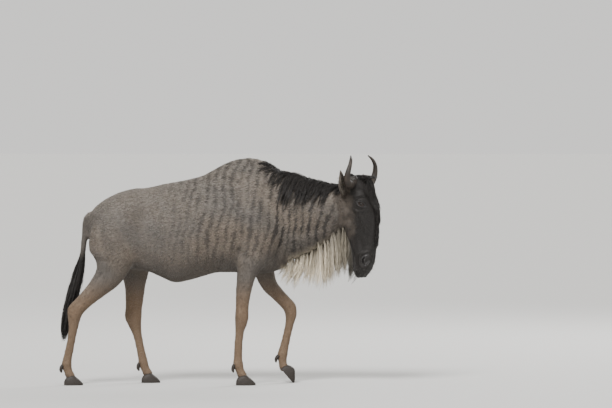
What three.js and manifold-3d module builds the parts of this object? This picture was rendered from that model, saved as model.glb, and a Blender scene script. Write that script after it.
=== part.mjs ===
// A life-size wildebeest in mid stride, its head low and turned a little to its right.
// Millimetres. +X is the way it walks, +Y its left side, +Z up, and the floor is Z = 0.
import * as THREE from "three";
import { mergeVertices } from "three/addons/utils/BufferGeometryUtils.js";
import Module from "manifold-3d";

const wasm = await Module();
wasm.setup();

// Driving dimensions
const gap = 0.3; // kept between touching pieces
const weld = 0.0005; // vertices closer than this are one
const level = 0.001; // a corner of a ring lower than this is under its middle
const headTurn = THREE.MathUtils.degToRad(28); // towards the animal's right
const crown = new THREE.Vector3(739, -78, 0); // under the middle of the horn bases, on the floor
const forward = new THREE.Vector3(Math.cos(headTurn), -Math.sin(headTurn), 0); // the way the face looks
const leftward = new THREE.Vector3(Math.sin(headTurn), Math.cos(headTurn), 0); // to the head's own left
const upward = new THREE.Vector3(0, 0, 1);
const leftOfBody = new THREE.Vector3(0, 1, 0);
const sides = { right: -1, left: 1 };

// Trunk from rump to chest: place along the body, height of back, widest line and belly, half width,
// and how round it is above and below the widest line: 1 is an ellipse, more is sharper
const trunk = [
  { x: -697, top: 868, mid: 845, low: 822, half: 22, upper: 1, lower: 1 },
  { x: -688, top: 902, mid: 838, low: 765, half: 66, upper: 1, lower: 1 },
  { x: -655, top: 945, mid: 828, low: 705, half: 122, upper: 1, lower: 0.95 },
  { x: -600, top: 985, mid: 815, low: 655, half: 162, upper: 1.02, lower: 0.95 },
  { x: -530, top: 1018, mid: 805, low: 622, half: 180, upper: 1.08, lower: 0.95 },
  { x: -456, top: 1037, mid: 795, low: 604, half: 184, upper: 1.12, lower: 0.95 },
  { x: -380, top: 1043, mid: 785, low: 596, half: 180, upper: 1.12, lower: 0.95 },
  { x: -310, top: 1059, mid: 775, low: 567, half: 190, upper: 1.12, lower: 0.95 },
  { x: -240, top: 1072, mid: 768, low: 540, half: 206, upper: 1.14, lower: 0.95 },
  { x: -160, top: 1088, mid: 772, low: 552, half: 214, upper: 1.18, lower: 0.95 },
  { x: -85, top: 1110, mid: 782, low: 573, half: 210, upper: 1.24, lower: 0.95 },
  { x: -20, top: 1146, mid: 800, low: 590, half: 202, upper: 1.34, lower: 0.97 },
  { x: 50, top: 1182, mid: 820, low: 592, half: 194, upper: 1.42, lower: 1 },
  { x: 120, top: 1200, mid: 835, low: 590, half: 186, upper: 1.46, lower: 1 },
  { x: 190, top: 1199, mid: 845, low: 586, half: 178, upper: 1.44, lower: 1 },
  { x: 255, top: 1175, mid: 850, low: 588, half: 166, upper: 1.36, lower: 1.02 },
  { x: 310, top: 1138, mid: 850, low: 604, half: 148, upper: 1.2, lower: 1.05 },
  { x: 352, top: 1090, mid: 850, low: 632, half: 118, upper: 1.1, lower: 1.05 },
  { x: 380, top: 1010, mid: 850, low: 690, half: 66, upper: 1, lower: 1 },
];

// Neck from inside the chest to inside the head, bending to the right as it goes
const neck = [
  { x: 215, y: 0, turn: 0, top: 1145, mid: 890, low: 640, half: 118, upper: 1.2, lower: 1 },
  { x: 290, y: 0, turn: 2, top: 1127, mid: 885, low: 640, half: 134, upper: 1.22, lower: 1.05 },
  { x: 360, y: -3, turn: 5, top: 1108, mid: 885, low: 650, half: 130, upper: 1.22, lower: 1.08 },
  { x: 430, y: -9, turn: 9, top: 1092, mid: 892, low: 674, half: 119, upper: 1.2, lower: 1.1 },
  { x: 500, y: -20, turn: 14, top: 1076, mid: 902, low: 708, half: 109, upper: 1.16, lower: 1.1 },
  { x: 565, y: -35, turn: 20, top: 1060, mid: 915, low: 748, half: 100, upper: 1.1, lower: 1.1 },
  { x: 630, y: -52, turn: 26, top: 1050, mid: 930, low: 800, half: 88, upper: 1.05, lower: 1.05 },
  { x: 680, y: -62, turn: 28, top: 1044, mid: 950, low: 850, half: 64, upper: 1, lower: 1 },
];

// Head from crown to lips: height, reach of the face forwards and of the jaw back, both measured from
// under the horns, the line where it is widest, half width, and how square the face and the jaw are
const head = [
  { z: 1104, face: 8, wide: -14, jaw: -34, half: 24, front: 1, back: 1 },
  { z: 1097, face: 38, wide: -12, jaw: -58, half: 56, front: 0.9, back: 0.9 },
  { z: 1078, face: 56, wide: -8, jaw: -80, half: 73, front: 0.85, back: 0.95 },
  { z: 1046, face: 68, wide: 0, jaw: -96, half: 80, front: 0.85, back: 1 },
  { z: 1012, face: 70, wide: 8, jaw: -106, half: 82, front: 0.85, back: 1.05 },
  { z: 984, face: 82, wide: 14, jaw: -112, half: 83, front: 0.9, back: 1.1 },
  { z: 955, face: 95, wide: 16, jaw: -116, half: 82, front: 0.95, back: 1.1 },
  { z: 925, face: 106, wide: 10, jaw: -118, half: 76, front: 1, back: 1.1 },
  { z: 885, face: 108, wide: -2, jaw: -114, half: 68, front: 1, back: 1 },
  { z: 840, face: 106, wide: -4, jaw: -98, half: 60, front: 0.98, back: 1 },
  { z: 795, face: 103, wide: 4, jaw: -76, half: 54, front: 0.95, back: 1 },
  { z: 750, face: 100, wide: 12, jaw: -56, half: 51, front: 0.9, back: 1 },
  { z: 708, face: 93, wide: 18, jaw: -42, half: 53, front: 0.82, back: 1 },
  { z: 672, face: 86, wide: 20, jaw: -34, half: 58, front: 0.75, back: 0.95 },
  { z: 640, face: 75, wide: 18, jaw: -30, half: 60, front: 0.72, back: 0.9 },
  { z: 610, face: 62, wide: 14, jaw: -28, half: 58, front: 0.75, back: 0.85 },
  { z: 586, face: 47, wide: 10, jaw: -22, half: 50, front: 0.8, back: 0.85 },
  { z: 571, face: 32, wide: 8, jaw: -12, half: 36, front: 0.9, back: 0.9 },
  { z: 566, face: 18, wide: 6, jaw: -2, half: 18, front: 1, back: 1 },
];

// Each leg from inside the trunk to the top of the hoof: the middle of the limb, half its depth along
// the body and half its width across it
const legs = {
  foreleg_right: {
    side: -1,
    rings: [
      { x: 150, z: 1050, y: 74, deep: 34, wide: 24 },
      { x: 166, z: 1000, y: 92, deep: 66, wide: 44 },
      { x: 190, z: 920, y: 112, deep: 92, wide: 60 },
      { x: 208, z: 830, y: 124, deep: 108, wide: 66 },
      { x: 204, z: 745, y: 124, deep: 106, wide: 64 },
      { x: 172, z: 670, y: 122, deep: 84, wide: 56 },
      { x: 146, z: 605, y: 118, deep: 58, wide: 46 },
      { x: 132, z: 530, y: 114, deep: 44, wide: 38 },
      { x: 123, z: 460, y: 110, deep: 37, wide: 33 },
      { x: 119, z: 405, y: 107, deep: 34, wide: 31 },
      { x: 117, z: 362, y: 105, deep: 36, wide: 35 },
      { x: 113, z: 325, y: 104, deep: 32, wide: 31 },
      { x: 106, z: 286, y: 103, deep: 24, wide: 23 },
      { x: 100, z: 215, y: 102, deep: 22, wide: 20 },
      { x: 97, z: 142, y: 101, deep: 25, wide: 22 },
      { x: 98, z: 108, y: 101, deep: 29, wide: 27 },
      { x: 108, z: 76, y: 101, deep: 24, wide: 25 },
      { x: 122, z: 46, y: 101, deep: 27, wide: 31 },
      { x: 129, z: 28, y: 101, deep: 20, wide: 26 },
    ],
  },
  foreleg_left: {
    side: 1,
    rings: [
      { x: 158, z: 1050, y: 74, deep: 34, wide: 24 },
      { x: 178, z: 1000, y: 92, deep: 66, wide: 44 },
      { x: 210, z: 920, y: 112, deep: 92, wide: 60 },
      { x: 236, z: 830, y: 124, deep: 106, wide: 66 },
      { x: 244, z: 745, y: 124, deep: 98, wide: 64 },
      { x: 232, z: 670, y: 121, deep: 78, wide: 54 },
      { x: 232, z: 600, y: 117, deep: 58, wide: 46 },
      { x: 262, z: 520, y: 112, deep: 43, wide: 38 },
      { x: 304, z: 472, y: 108, deep: 36, wide: 33 },
      { x: 342, z: 432, y: 105, deep: 34, wide: 31 },
      { x: 368, z: 402, y: 103, deep: 35, wide: 34 },
      { x: 376, z: 364, y: 101, deep: 31, wide: 31 },
      { x: 370, z: 322, y: 100, deep: 24, wide: 23 },
      { x: 354, z: 250, y: 98, deep: 22, wide: 20 },
      { x: 337, z: 178, y: 96, deep: 25, wide: 22 },
      { x: 330, z: 146, y: 96, deep: 29, wide: 27 },
      { x: 331, z: 110, y: 96, deep: 24, wide: 25 },
      { x: 338, z: 80, y: 96, deep: 26, wide: 31 },
      { x: 343, z: 62, y: 96, deep: 20, wide: 26 },
    ],
  },
  hindleg_right: {
    side: -1,
    rings: [
      { x: -545, z: 935, y: 86, deep: 40, wide: 30 },
      { x: -550, z: 885, y: 98, deep: 92, wide: 62 },
      { x: -556, z: 800, y: 112, deep: 126, wide: 78 },
      { x: -560, z: 715, y: 118, deep: 128, wide: 76 },
      { x: -560, z: 640, y: 118, deep: 98, wide: 66 },
      { x: -588, z: 575, y: 114, deep: 74, wide: 54 },
      { x: -636, z: 520, y: 110, deep: 56, wide: 43 },
      { x: -684, z: 472, y: 107, deep: 45, wide: 35 },
      { x: -728, z: 428, y: 105, deep: 40, wide: 31 },
      { x: -762, z: 390, y: 103, deep: 42, wide: 32 },
      { x: -768, z: 345, y: 102, deep: 32, wide: 28 },
      { x: -774, z: 290, y: 101, deep: 24, wide: 22 },
      { x: -788, z: 210, y: 100, deep: 22, wide: 20 },
      { x: -803, z: 140, y: 99, deep: 25, wide: 23 },
      { x: -808, z: 106, y: 99, deep: 29, wide: 27 },
      { x: -800, z: 74, y: 99, deep: 24, wide: 25 },
      { x: -787, z: 45, y: 99, deep: 27, wide: 30 },
      { x: -781, z: 28, y: 99, deep: 20, wide: 25 },
    ],
  },
  hindleg_left: {
    side: 1,
    rings: [
      { x: -520, z: 935, y: 86, deep: 40, wide: 30 },
      { x: -515, z: 885, y: 98, deep: 92, wide: 62 },
      { x: -500, z: 800, y: 112, deep: 122, wide: 78 },
      { x: -480, z: 715, y: 118, deep: 118, wide: 76 },
      { x: -464, z: 645, y: 118, deep: 96, wide: 66 },
      { x: -456, z: 580, y: 114, deep: 74, wide: 54 },
      { x: -456, z: 515, y: 110, deep: 55, wide: 43 },
      { x: -458, z: 450, y: 107, deep: 48, wide: 36 },
      { x: -462, z: 395, y: 105, deep: 44, wide: 32 },
      { x: -465, z: 352, y: 103, deep: 46, wide: 32 },
      { x: -456, z: 308, y: 102, deep: 34, wide: 28 },
      { x: -444, z: 262, y: 101, deep: 25, wide: 22 },
      { x: -430, z: 195, y: 100, deep: 22, wide: 20 },
      { x: -417, z: 136, y: 99, deep: 25, wide: 23 },
      { x: -412, z: 104, y: 99, deep: 29, wide: 27 },
      { x: -400, z: 73, y: 99, deep: 24, wide: 25 },
      { x: -386, z: 45, y: 99, deep: 27, wide: 30 },
      { x: -380, z: 28, y: 99, deep: 20, wide: 25 },
    ],
  },
};

// Where each foot stands: between its two claws on the floor, and how far it is tipped on its toes
const feet = {
  fore_right: { leg: "foreleg_right", x: 133, y: -101, z: 0, tip: 0, size: 1.05 },
  fore_left: { leg: "foreleg_left", x: 352, y: 96, z: 40, tip: 50, size: 1.05 },
  hind_right: { leg: "hindleg_right", x: -776, y: -99, z: 0, tip: 0, size: 1 },
  hind_left: { leg: "hindleg_left", x: -376, y: 99, z: 0, tip: 0, size: 1 },
};

// One claw of a hoof from heel to toe: place along it, height of its top, half width, and how far it
// leans towards its twin
const claw = [
  { along: -44, top: 20, half: 9, lean: 0 },
  { along: -36, top: 36, half: 15, lean: 0 },
  { along: -18, top: 47, half: 18, lean: 0 },
  { along: 4, top: 50, half: 18, lean: 0 },
  { along: 24, top: 36, half: 16, lean: 1 },
  { along: 42, top: 21, half: 12, lean: 4 },
  { along: 54, top: 8, half: 5, lean: 8 },
];
const clawSpread = 19.5; // from the middle of the foot to the middle of a claw
const soleEdge = 3; // the claw stands this high before its wall starts to slope

// A horn from its base on the crown to its tip: out to the side, forward from under the crown, height,
// and radius
const horn = [
  { out: 16, ahead: -8, z: 1082, radius: 21 },
  { out: 48, ahead: -8, z: 1078, radius: 27 },
  { out: 84, ahead: -6, z: 1066, radius: 25 },
  { out: 120, ahead: -3, z: 1062, radius: 21 },
  { out: 146, ahead: 2, z: 1078, radius: 18 },
  { out: 157, ahead: 8, z: 1106, radius: 15.5 },
  { out: 154, ahead: 14, z: 1136, radius: 13 },
  { out: 143, ahead: 17, z: 1163, radius: 10.5 },
  { out: 124, ahead: 12, z: 1190, radius: 8 },
  { out: 99, ahead: -1, z: 1211, radius: 3 },
];

// An ear from root to tip: share of its length, half width, how far its back bulges and its cup goes in
const earLength = 182;
const ear = [
  { share: 0, half: 13, back: 13, cup: -3 },
  { share: 0.1, half: 19, back: 17, cup: 2 },
  { share: 0.26, half: 28, back: 20, cup: 14 },
  { share: 0.46, half: 33, back: 19, cup: 14.5 },
  { share: 0.66, half: 28, back: 15, cup: 11 },
  { share: 0.84, half: 17, back: 9, cup: 5.5 },
  { share: 0.95, half: 8, back: 5, cup: 2 },
  { share: 1, half: 2.5, back: 2.5, cup: -0.5 },
];
const ears = {
  right: { side: -1, root: [76, -50, 1000], aim: [113, 34, 132] },
  left: { side: 1, root: [76, -50, 1000], aim: [138, -36, 108] },
};

const eye = { out: 63, ahead: 42, z: 955, radius: 21 };

// A small claw behind the fetlock
const dewclaw = { behind: 20, apart: 13, halves: [11, 12, 10, 4], flatness: 0.8 };

// Faces around each kind of piece
const around = {
  trunk: 22,
  neck: 20,
  head: 20,
  leg: 10,
  horn: 8,
  ear: 9,
  claw: 7,
  dewclaw: 6,
  tail: 8,
  roll: 5,
  lock: 3,
  eye: [10, 7],
};

// Turns a closed geometry into a solid whose faces point outwards.
function solidOf(geometry) {
  const bare = geometry.clone();
  bare.deleteAttribute("normal");
  bare.deleteAttribute("uv");
  const merged = mergeVertices(bare, weld);
  const vertProperties = merged.attributes.position.array;
  const corners = Array.from(merged.index.array);
  const make = (triVerts) => new wasm.Manifold(new wasm.Mesh({ numProp: 3, vertProperties, triVerts }));
  const made = make(new Uint32Array(corners));
  return made.volume() > 0 ? made : make(new Uint32Array(corners.reverse()));
}

// Copies a solid back into a geometry.
function geometryOf(solid) {
  const mesh = solid.getMesh();
  const places = new Float32Array(mesh.numVert * 3);
  for (let i = 0; i < mesh.numVert; i++) {
    places.set(mesh.vertProperties.subarray(i * mesh.numProp, i * mesh.numProp + 3), i * 3);
  }
  const geometry = new THREE.BufferGeometry();
  geometry.setAttribute("position", new THREE.BufferAttribute(places, 3));
  geometry.setIndex(new THREE.BufferAttribute(new Uint32Array(mesh.triVerts), 1));
  geometry.computeVertexNormals();
  return geometry;
}

const join = (solids) => solids.reduce((sum, next) => sum.add(next));

// The largest closed body of a solid, without the scraps that cutting leaves.
const largest = (solid) => solid.decompose().reduce((a, b) => (b.volume() > a.volume() ? b : a));

// A closed body drawn through rings. Each ring has a centre, half axes to the side, up and down, and
// powers that sharpen or square its upper and lower halves. A ring with a flat foot is level below.
function loft(rings, segments) {
  const geometry = new THREE.CylinderGeometry(1, 1, 1, segments, rings.length - 1);
  const spots = geometry.getAttribute("position");
  const spot = new THREE.Vector3();
  for (let i = 0; i < spots.count; i++) {
    const ring = rings[Math.round((0.5 - spots.getY(i)) * (rings.length - 1))];
    const [across, up] = [spots.getX(i), spots.getZ(i)];
    const power = up > 0 ? ring.upper : ring.lower;
    const bent = (value) => Math.sign(value) * Math.abs(value) ** power;
    const below = up < -level && ring.flat ? 1 : Math.abs(bent(up));
    spot.copy(ring.centre).addScaledVector(ring.side, bent(across));
    spot.addScaledVector(up > 0 ? ring.rise : ring.fall, below);
    spots.setXYZ(i, spot.x, spot.y, spot.z);
  }
  return solidOf(geometry);
}

// Rings that stand upright across the body, as in the trunk and the neck.
function uprightRings(rows, grow) {
  return rows.map((row, i) => {
    const turn = THREE.MathUtils.degToRad(row.turn ?? 0);
    const longer = i === 0 ? -grow : i === rows.length - 1 ? grow : 0;
    return {
      centre: new THREE.Vector3(row.x + longer, row.y ?? 0, row.mid),
      side: new THREE.Vector3(Math.sin(turn), Math.cos(turn), 0).multiplyScalar(row.half + grow),
      rise: new THREE.Vector3(0, 0, row.top - row.mid + grow),
      fall: new THREE.Vector3(0, 0, row.low - row.mid - grow),
      upper: row.upper,
      lower: row.lower,
    };
  });
}

// A point of the head, from its place to the side, ahead of the crown and above the floor.
function headPoint(out, ahead, z) {
  return crown.clone().addScaledVector(leftward, out).addScaledVector(forward, ahead).setZ(z);
}

// Round or flattened rings along a path: each is square to the path, with its side along a given way, or
// along one for each point. A grown path is also longer at both ends.
function pathRings(points, halves, sideways, grow = 0) {
  const last = points.length - 1;
  return points.map((point, i) => {
    const before = points[Math.max(i - 1, 0)];
    const after = points[Math.min(i + 1, last)];
    const along = after.clone().sub(before).normalize();
    const longer = i === 0 ? -grow : i === last ? grow : 0;
    const centre = point.clone().addScaledVector(along, longer);
    const way = Array.isArray(sideways) ? sideways[i] : sideways;
    const side = way.clone().addScaledVector(along, -way.dot(along)).normalize();
    const rise = side.clone().cross(along);
    const [wide, thick] = halves[i];
    return {
      centre,
      side: side.multiplyScalar(wide + grow),
      rise: rise.clone().multiplyScalar(thick + grow),
      fall: rise.clone().multiplyScalar(-thick - grow),
      upper: 1,
      lower: 1,
    };
  });
}

const trunkSolid = (grow = 0) => loft(uprightRings(trunk, grow), around.trunk);

const neckSolid = (grow = 0) => loft(uprightRings(neck, grow), around.neck);

function skullSolid(grow = 0) {
  const rings = head.map((row) => ({
    centre: headPoint(0, row.wide, row.z),
    side: leftward.clone().multiplyScalar(row.half + grow),
    rise: forward.clone().multiplyScalar(row.face - row.wide + grow),
    fall: forward.clone().multiplyScalar(row.jaw - row.wide - grow),
    upper: row.front,
    lower: row.back,
  }));
  rings[0].centre.z += grow;
  rings.at(-1).centre.z -= grow;
  return loft(rings, around.head);
}

function legSolid(leg, grow = 0) {
  const points = leg.rings.map((ring) => new THREE.Vector3(ring.x, ring.y * leg.side, ring.z));
  const halves = leg.rings.map((ring) => [ring.wide, ring.deep]);
  return loft(pathRings(points, halves, leftOfBody, grow), around.leg);
}

function hornSolid(side, grow = 0) {
  const points = horn.map((ring) => headPoint(ring.out * side, ring.ahead, ring.z));
  const halves = horn.map((ring) => [ring.radius, ring.radius]);
  return loft(pathRings(points, halves, forward, grow), around.horn);
}

// An ear is a tapered leaf bent round a hollow: each ring is a crescent, open to the front. Filled, it
// is the room that the head leaves for it.
function earSolid({ side, root, aim }, grow = 0) {
  const start = headPoint(root[0] * side, root[1], root[2]);
  const along = new THREE.Vector3()
    .addScaledVector(leftward, aim[0] * side)
    .addScaledVector(forward, aim[1])
    .addScaledVector(upward, aim[2])
    .normalize();
  const open = forward.clone().addScaledVector(along, -forward.dot(along)).normalize();
  const wide = open.clone().cross(along);
  const rings = ear.map((ring, i) => ({
    centre: start.clone().addScaledVector(along, ring.share * earLength + (i === 0 ? -grow : 0)),
    side: wide.clone().multiplyScalar(ring.half + grow),
    rise: open.clone().multiplyScalar(grow > 0 ? 2 + grow : -ring.cup),
    fall: open.clone().multiplyScalar(-ring.back - grow),
    upper: grow > 0 ? 1 : 1.25,
    lower: 0.8,
  }));
  return loft(rings, around.ear);
}

function ball({ out, ahead, z, radius }, side, grow = 0) {
  const shape = new THREE.SphereGeometry(radius + grow, ...around.eye);
  const place = headPoint(out * side, ahead, z);
  return solidOf(shape.translate(place.x, place.y, place.z));
}

function clawSolid(foot, twin, grow = 0) {
  const rings = claw.map((ring) => ({
    centre: new THREE.Vector3(ring.along, twin * (clawSpread - ring.lean), soleEdge - grow),
    side: new THREE.Vector3(0, ring.half + grow, 0),
    rise: new THREE.Vector3(0, 0, ring.top - soleEdge + 2 * grow),
    fall: new THREE.Vector3(0, 0, -soleEdge),
    upper: 0.8,
    lower: 1,
    flat: true,
  }));
  rings[0].centre.x -= grow;
  rings.at(-1).centre.x += grow;
  const made = loft(rings, around.claw).scale([foot.size, foot.size, foot.size]);
  return made.rotate([0, foot.tip, 0]).translate([foot.x, foot.y, foot.z]);
}

// The details of the head, on one side and mirrored. A row with an angle lies on the skin, at so many
// degrees from the widest line towards the face; the others give out, ahead and height. Each is a roll
// or a cut with a half depth into the head and a half width along the skin.
const lid = { swell: 5, slit: 19, open: 9.5, turn: -24 };
const browBone = [
  { angle: 50, z: 990, lift: -4, depth: 8, width: 8 },
  { angle: 34, z: 992, lift: 0, depth: 10, width: 11 },
  { angle: 16, z: 987, lift: 2, depth: 10, width: 11 },
  { angle: -2, z: 970, lift: -3, depth: 8, width: 8 },
];
const cheekBone = [
  { angle: 0, z: 936, lift: -4, depth: 8, width: 9 },
  { angle: 16, z: 910, lift: -3, depth: 10, width: 12 },
  { angle: 28, z: 868, lift: -4, depth: 9, width: 11 },
  { angle: 38, z: 815, lift: -5, depth: 7, width: 8 },
];
const nostrilRim = [
  { angle: 60, z: 688, lift: -3, depth: 6, width: 6 },
  { angle: 36, z: 696, lift: -2, depth: 8, width: 8 },
  { angle: 14, z: 680, lift: -2, depth: 9, width: 9 },
  { angle: 12, z: 652, lift: -2, depth: 9, width: 9 },
  { angle: 32, z: 630, lift: -2, depth: 8, width: 8 },
  { angle: 58, z: 628, lift: -3, depth: 6, width: 6 },
];
const nostrilHole = [
  { angle: 56, z: 644, lift: 4, depth: 5, width: 4 },
  { angle: 40, z: 644, lift: 0, depth: 10, width: 7 },
  { angle: 27, z: 655, lift: -3, depth: 14, width: 8 },
  { angle: 27, z: 670, lift: -3, depth: 13, width: 7 },
  { angle: 40, z: 681, lift: -1, depth: 6, width: 4 },
];
const mouthLine = [
  { out: 0, ahead: 14, z: 565, depth: 14, width: 2.5 },
  { out: 28, ahead: 13, z: 570, depth: 14, width: 2.5 },
  { out: 46, ahead: 10, z: 584, depth: 12, width: 2.5 },
  { out: 56, ahead: 4, z: 612, depth: 10, width: 2.5 },
  { out: 57, ahead: -2, z: 645, depth: 8, width: 2 },
  { out: 52, ahead: -8, z: 678, depth: 5, width: 1.5 },
];
const upperLip = [
  { out: 0, ahead: 25, z: 569, depth: 6, width: 7 },
  { out: 27, ahead: 24, z: 573, depth: 7, width: 8 },
  { out: 44, ahead: 21, z: 588, depth: 7, width: 8 },
  { out: 55, ahead: 15, z: 614, depth: 6, width: 7 },
  { out: 56, ahead: 8, z: 648, depth: 4, width: 5 },
];
const lowerLip = [
  { out: 0, ahead: 3, z: 569, depth: 6, width: 6 },
  { out: 24, ahead: 2, z: 573, depth: 6, width: 7 },
  { out: 42, ahead: -2, z: 588, depth: 6, width: 7 },
  { out: 52, ahead: -8, z: 614, depth: 5, width: 6 },
  { out: 53, ahead: -13, z: 648, depth: 4, width: 5 },
];

// The tail from its root: place behind the rump, height, half width and half depth
const tail = [
  { x: -664, z: 902, wide: 16, deep: 14 },
  { x: -686, z: 898, wide: 24, deep: 19 },
  { x: -704, z: 880, wide: 25, deep: 21 },
  { x: -713, z: 846, wide: 24, deep: 20 },
  { x: -717, z: 800, wide: 22, deep: 19 },
  { x: -721, z: 750, wide: 20, deep: 19 },
  { x: -727, z: 700, wide: 19, deep: 19 },
  { x: -737, z: 650, wide: 18, deep: 19 },
  { x: -748, z: 600, wide: 17, deep: 18 },
  { x: -764, z: 540, wide: 14, deep: 16 },
  { x: -780, z: 480, wide: 10, deep: 12 },
  { x: -790, z: 440, wide: 5, deep: 7 },
];

// The form that the tuft of the tail fills, from where it starts to its lowest tips
const tuftForm = [
  { x: -730, z: 690, wide: 10, deep: 10 },
  { x: -744, z: 640, wide: 24, deep: 24 },
  { x: -760, z: 580, wide: 32, deep: 32 },
  { x: -782, z: 500, wide: 36, deep: 38 },
  { x: -806, z: 410, wide: 36, deep: 40 },
  { x: -822, z: 320, wide: 30, deep: 32 },
  { x: -828, z: 250, wide: 18, deep: 20 },
  { x: -830, z: 218, wide: 6, deep: 6 },
];
// Hair in locks. The mane falls from the crest of the neck to both sides: degrees from the widest line
// of the neck up to its crest, and how far each point of a lock stands off the skin
const mane = {
  count: 26,
  from: 300,
  to: 668,
  path: [
    { angle: 103, lift: -16 },
    { angle: 88, lift: 6 },
    { angle: 60, lift: 7 },
    { angle: 36, lift: 7 },
    { angle: 12, lift: 5 },
  ],
  reach: 0.28, // how much longer or shorter one may be
  drift: 46, // how far the tips lie behind the roots
  layer: 8, // every other lock of a side lies this much higher
  wide: 17,
  thick: 5,
};
const crest = { count: 5, from: 330, to: 650, rise: 13, lean: -46, wide: 11, thick: 6 };
// The beard hangs from the throat: where its tips reach, and how far they swing forwards
const beard = {
  count: 52,
  from: 334,
  to: 660,
  spread: 22, // degrees to each side of the keel of the throat
  rootDepth: 14,
  wide: 8,
  thick: 5,
  tips: [
    { x: 334, z: 535, swing: -40 },
    { x: 372, z: 500, swing: -52 },
    { x: 430, z: 486, swing: -40 },
    { x: 490, z: 494, swing: -18 },
    { x: 552, z: 474, swing: 0 },
    { x: 600, z: 530, swing: 6 },
    { x: 660, z: 580, swing: 8 },
  ],
};
// Hair of the jaw, from the throat to the chin: height of its root and its length
const chin = {
  wide: 10,
  thick: 5,
  rootDepth: 12,
  sink: 26, // how far its root runs down before it leaves the skin
  locks: [
    { z: 880, out: 10, length: 170, swing: -16 },
    { z: 850, out: -12, length: 180, swing: -12 },
    { z: 810, out: 12, length: 180, swing: -10 },
    { z: 770, out: -12, length: 170, swing: -6 },
    { z: 730, out: 12, length: 160, swing: -2 },
    { z: 700, out: -14, length: 140, swing: 4 },
    { z: 670, out: 6, length: 125, swing: 8 },
    { z: 645, out: -18, length: 100, swing: 8 },
    { z: 640, out: 20, length: 98, swing: 6 },
  ],
};
// Hair that lies down the face: the forelock below the horns and the brush on the nose
const faceHair = {
  wide: 12,
  thick: 5,
  stand: 7,
  locks: [
    { out: -38, z: 1072, length: 84 },
    { out: -14, z: 1080, length: 104 },
    { out: 12, z: 1078, length: 96 },
    { out: 36, z: 1070, length: 82 },
    { out: -26, z: 1030, length: 84 },
    { out: 2, z: 1026, length: 96 },
    { out: 28, z: 1032, length: 82 },
    { out: -16, z: 950, length: 88 },
    { out: 14, z: 944, length: 92 },
    { out: 0, z: 890, length: 96 },
  ],
};
const tuft = { count: 15, wide: 10, thick: 6, lastRoot: 0.46, shortest: 0.36, longest: 0.54 };

// A point on the skin of the head, by its angle from the widest line towards the face.
function skinPoint(angle, z, side, lift) {
  const row = rowAt(head, "z", z);
  const [out, ahead] = [Math.cos(THREE.MathUtils.degToRad(angle)), Math.sin(THREE.MathUtils.degToRad(angle))];
  const power = ahead > 0 ? row.front : row.back;
  const depth = ahead > 0 ? row.face - row.wide : row.wide - row.jaw;
  const across = Math.abs(out) ** power * row.half + out * lift;
  return headPoint(across * side, row.wide + Math.sign(ahead) * Math.abs(ahead) ** power * depth + ahead * lift, z);
}

// A roll of flesh or a cut along a path on the head.
function headRoll(rows, side) {
  const lips = 610; // below this the skin turns under the muzzle
  const points = rows.map((row) =>
    "angle" in row ? skinPoint(row.angle, row.z, side, row.lift) : headPoint(row.out * side, row.ahead, row.z),
  );
  const outwards = points.map((point) =>
    point.clone().sub(headPoint(0, rowAt(head, "z", point.z).wide, Math.max(point.z, lips))).multiplyScalar(side),
  );
  const halves = rows.map((row) => [row.depth, row.width]);
  return loft(pathRings(points, halves, outwards), around.roll);
}

// The almond slit between the lids, wider outside so that the lids thin towards their edge.
function slitSolid(side) {
  const outward = leftward.clone().multiplyScalar(side);
  const look = outward.clone().multiplyScalar(0.93).addScaledVector(forward, 0.37).normalize();
  const lower = new THREE.Vector3(0, 0, 1).addScaledVector(look, -look.z).normalize();
  const across = lower.clone().cross(look);
  const tilt = THREE.MathUtils.degToRad(lid.turn) * side;
  across.applyAxisAngle(look, tilt);
  lower.applyAxisAngle(look, tilt);
  const middle = headPoint(eye.out * side, eye.ahead, eye.z);
  const ring = (ahead, size) => ({
    centre: middle.clone().addScaledVector(look, ahead),
    side: across.clone().multiplyScalar(lid.slit * size),
    rise: lower.clone().multiplyScalar(lid.open * size),
    fall: lower.clone().multiplyScalar(-lid.open * size),
    upper: 1.25,
    lower: 1.25,
  });
  return loft([ring(6, 0.85), ring(eye.radius, 1), ring(eye.radius + 30, 2.2)], 12);
}

function tailSolid(grow = 0) {
  const points = tail.map((ring) => new THREE.Vector3(ring.x, 0, ring.z));
  const halves = tail.map((ring) => [ring.wide, ring.deep]);
  return loft(pathRings(points, halves, leftOfBody, grow), around.tail);
}

// Chances that come out the same each time.
let seed = 4711;
function chance() {
  seed = (seed * 16807) % 2147483647;
  return seed / 2147483647;
}
const vary = (amount) => (chance() * 2 - 1) * amount;

// The row of a table at a place between two of its rows.
function rowAt(rows, key, value) {
  const rising = rows.at(-1)[key] > rows[0][key];
  const beyond = rows.findIndex((row) => (rising ? row[key] >= value : row[key] <= value));
  const next = beyond < 0 ? rows.length - 1 : Math.max(beyond, 1);
  const [a, b] = [rows[next - 1], rows[next]];
  const share = THREE.MathUtils.clamp((value - a[key]) / (b[key] - a[key]), 0, 1);
  return Object.fromEntries(Object.keys(a).map((name) => [name, THREE.MathUtils.lerp(a[name], b[name], share)]));
}

// A point on the neck, by its place along the body and its angle above the widest line, lifted off it.
function neckPoint(x, angle, side, lift) {
  const row = rowAt(neck, "x", x);
  const turn = THREE.MathUtils.degToRad(row.turn);
  const across = new THREE.Vector3(Math.sin(turn), Math.cos(turn), 0).multiplyScalar(side);
  const [out, up] = [Math.cos(THREE.MathUtils.degToRad(angle)), Math.sin(THREE.MathUtils.degToRad(angle))];
  const power = up > 0 ? row.upper : row.lower;
  const height = up > 0 ? row.top - row.mid : row.mid - row.low;
  return new THREE.Vector3(x, row.y, row.mid)
    .addScaledVector(across, Math.sign(out) * Math.abs(out) ** power * row.half + out * lift)
    .addScaledVector(upward, Math.sign(up) * Math.abs(up) ** power * height + up * lift);
}

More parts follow.
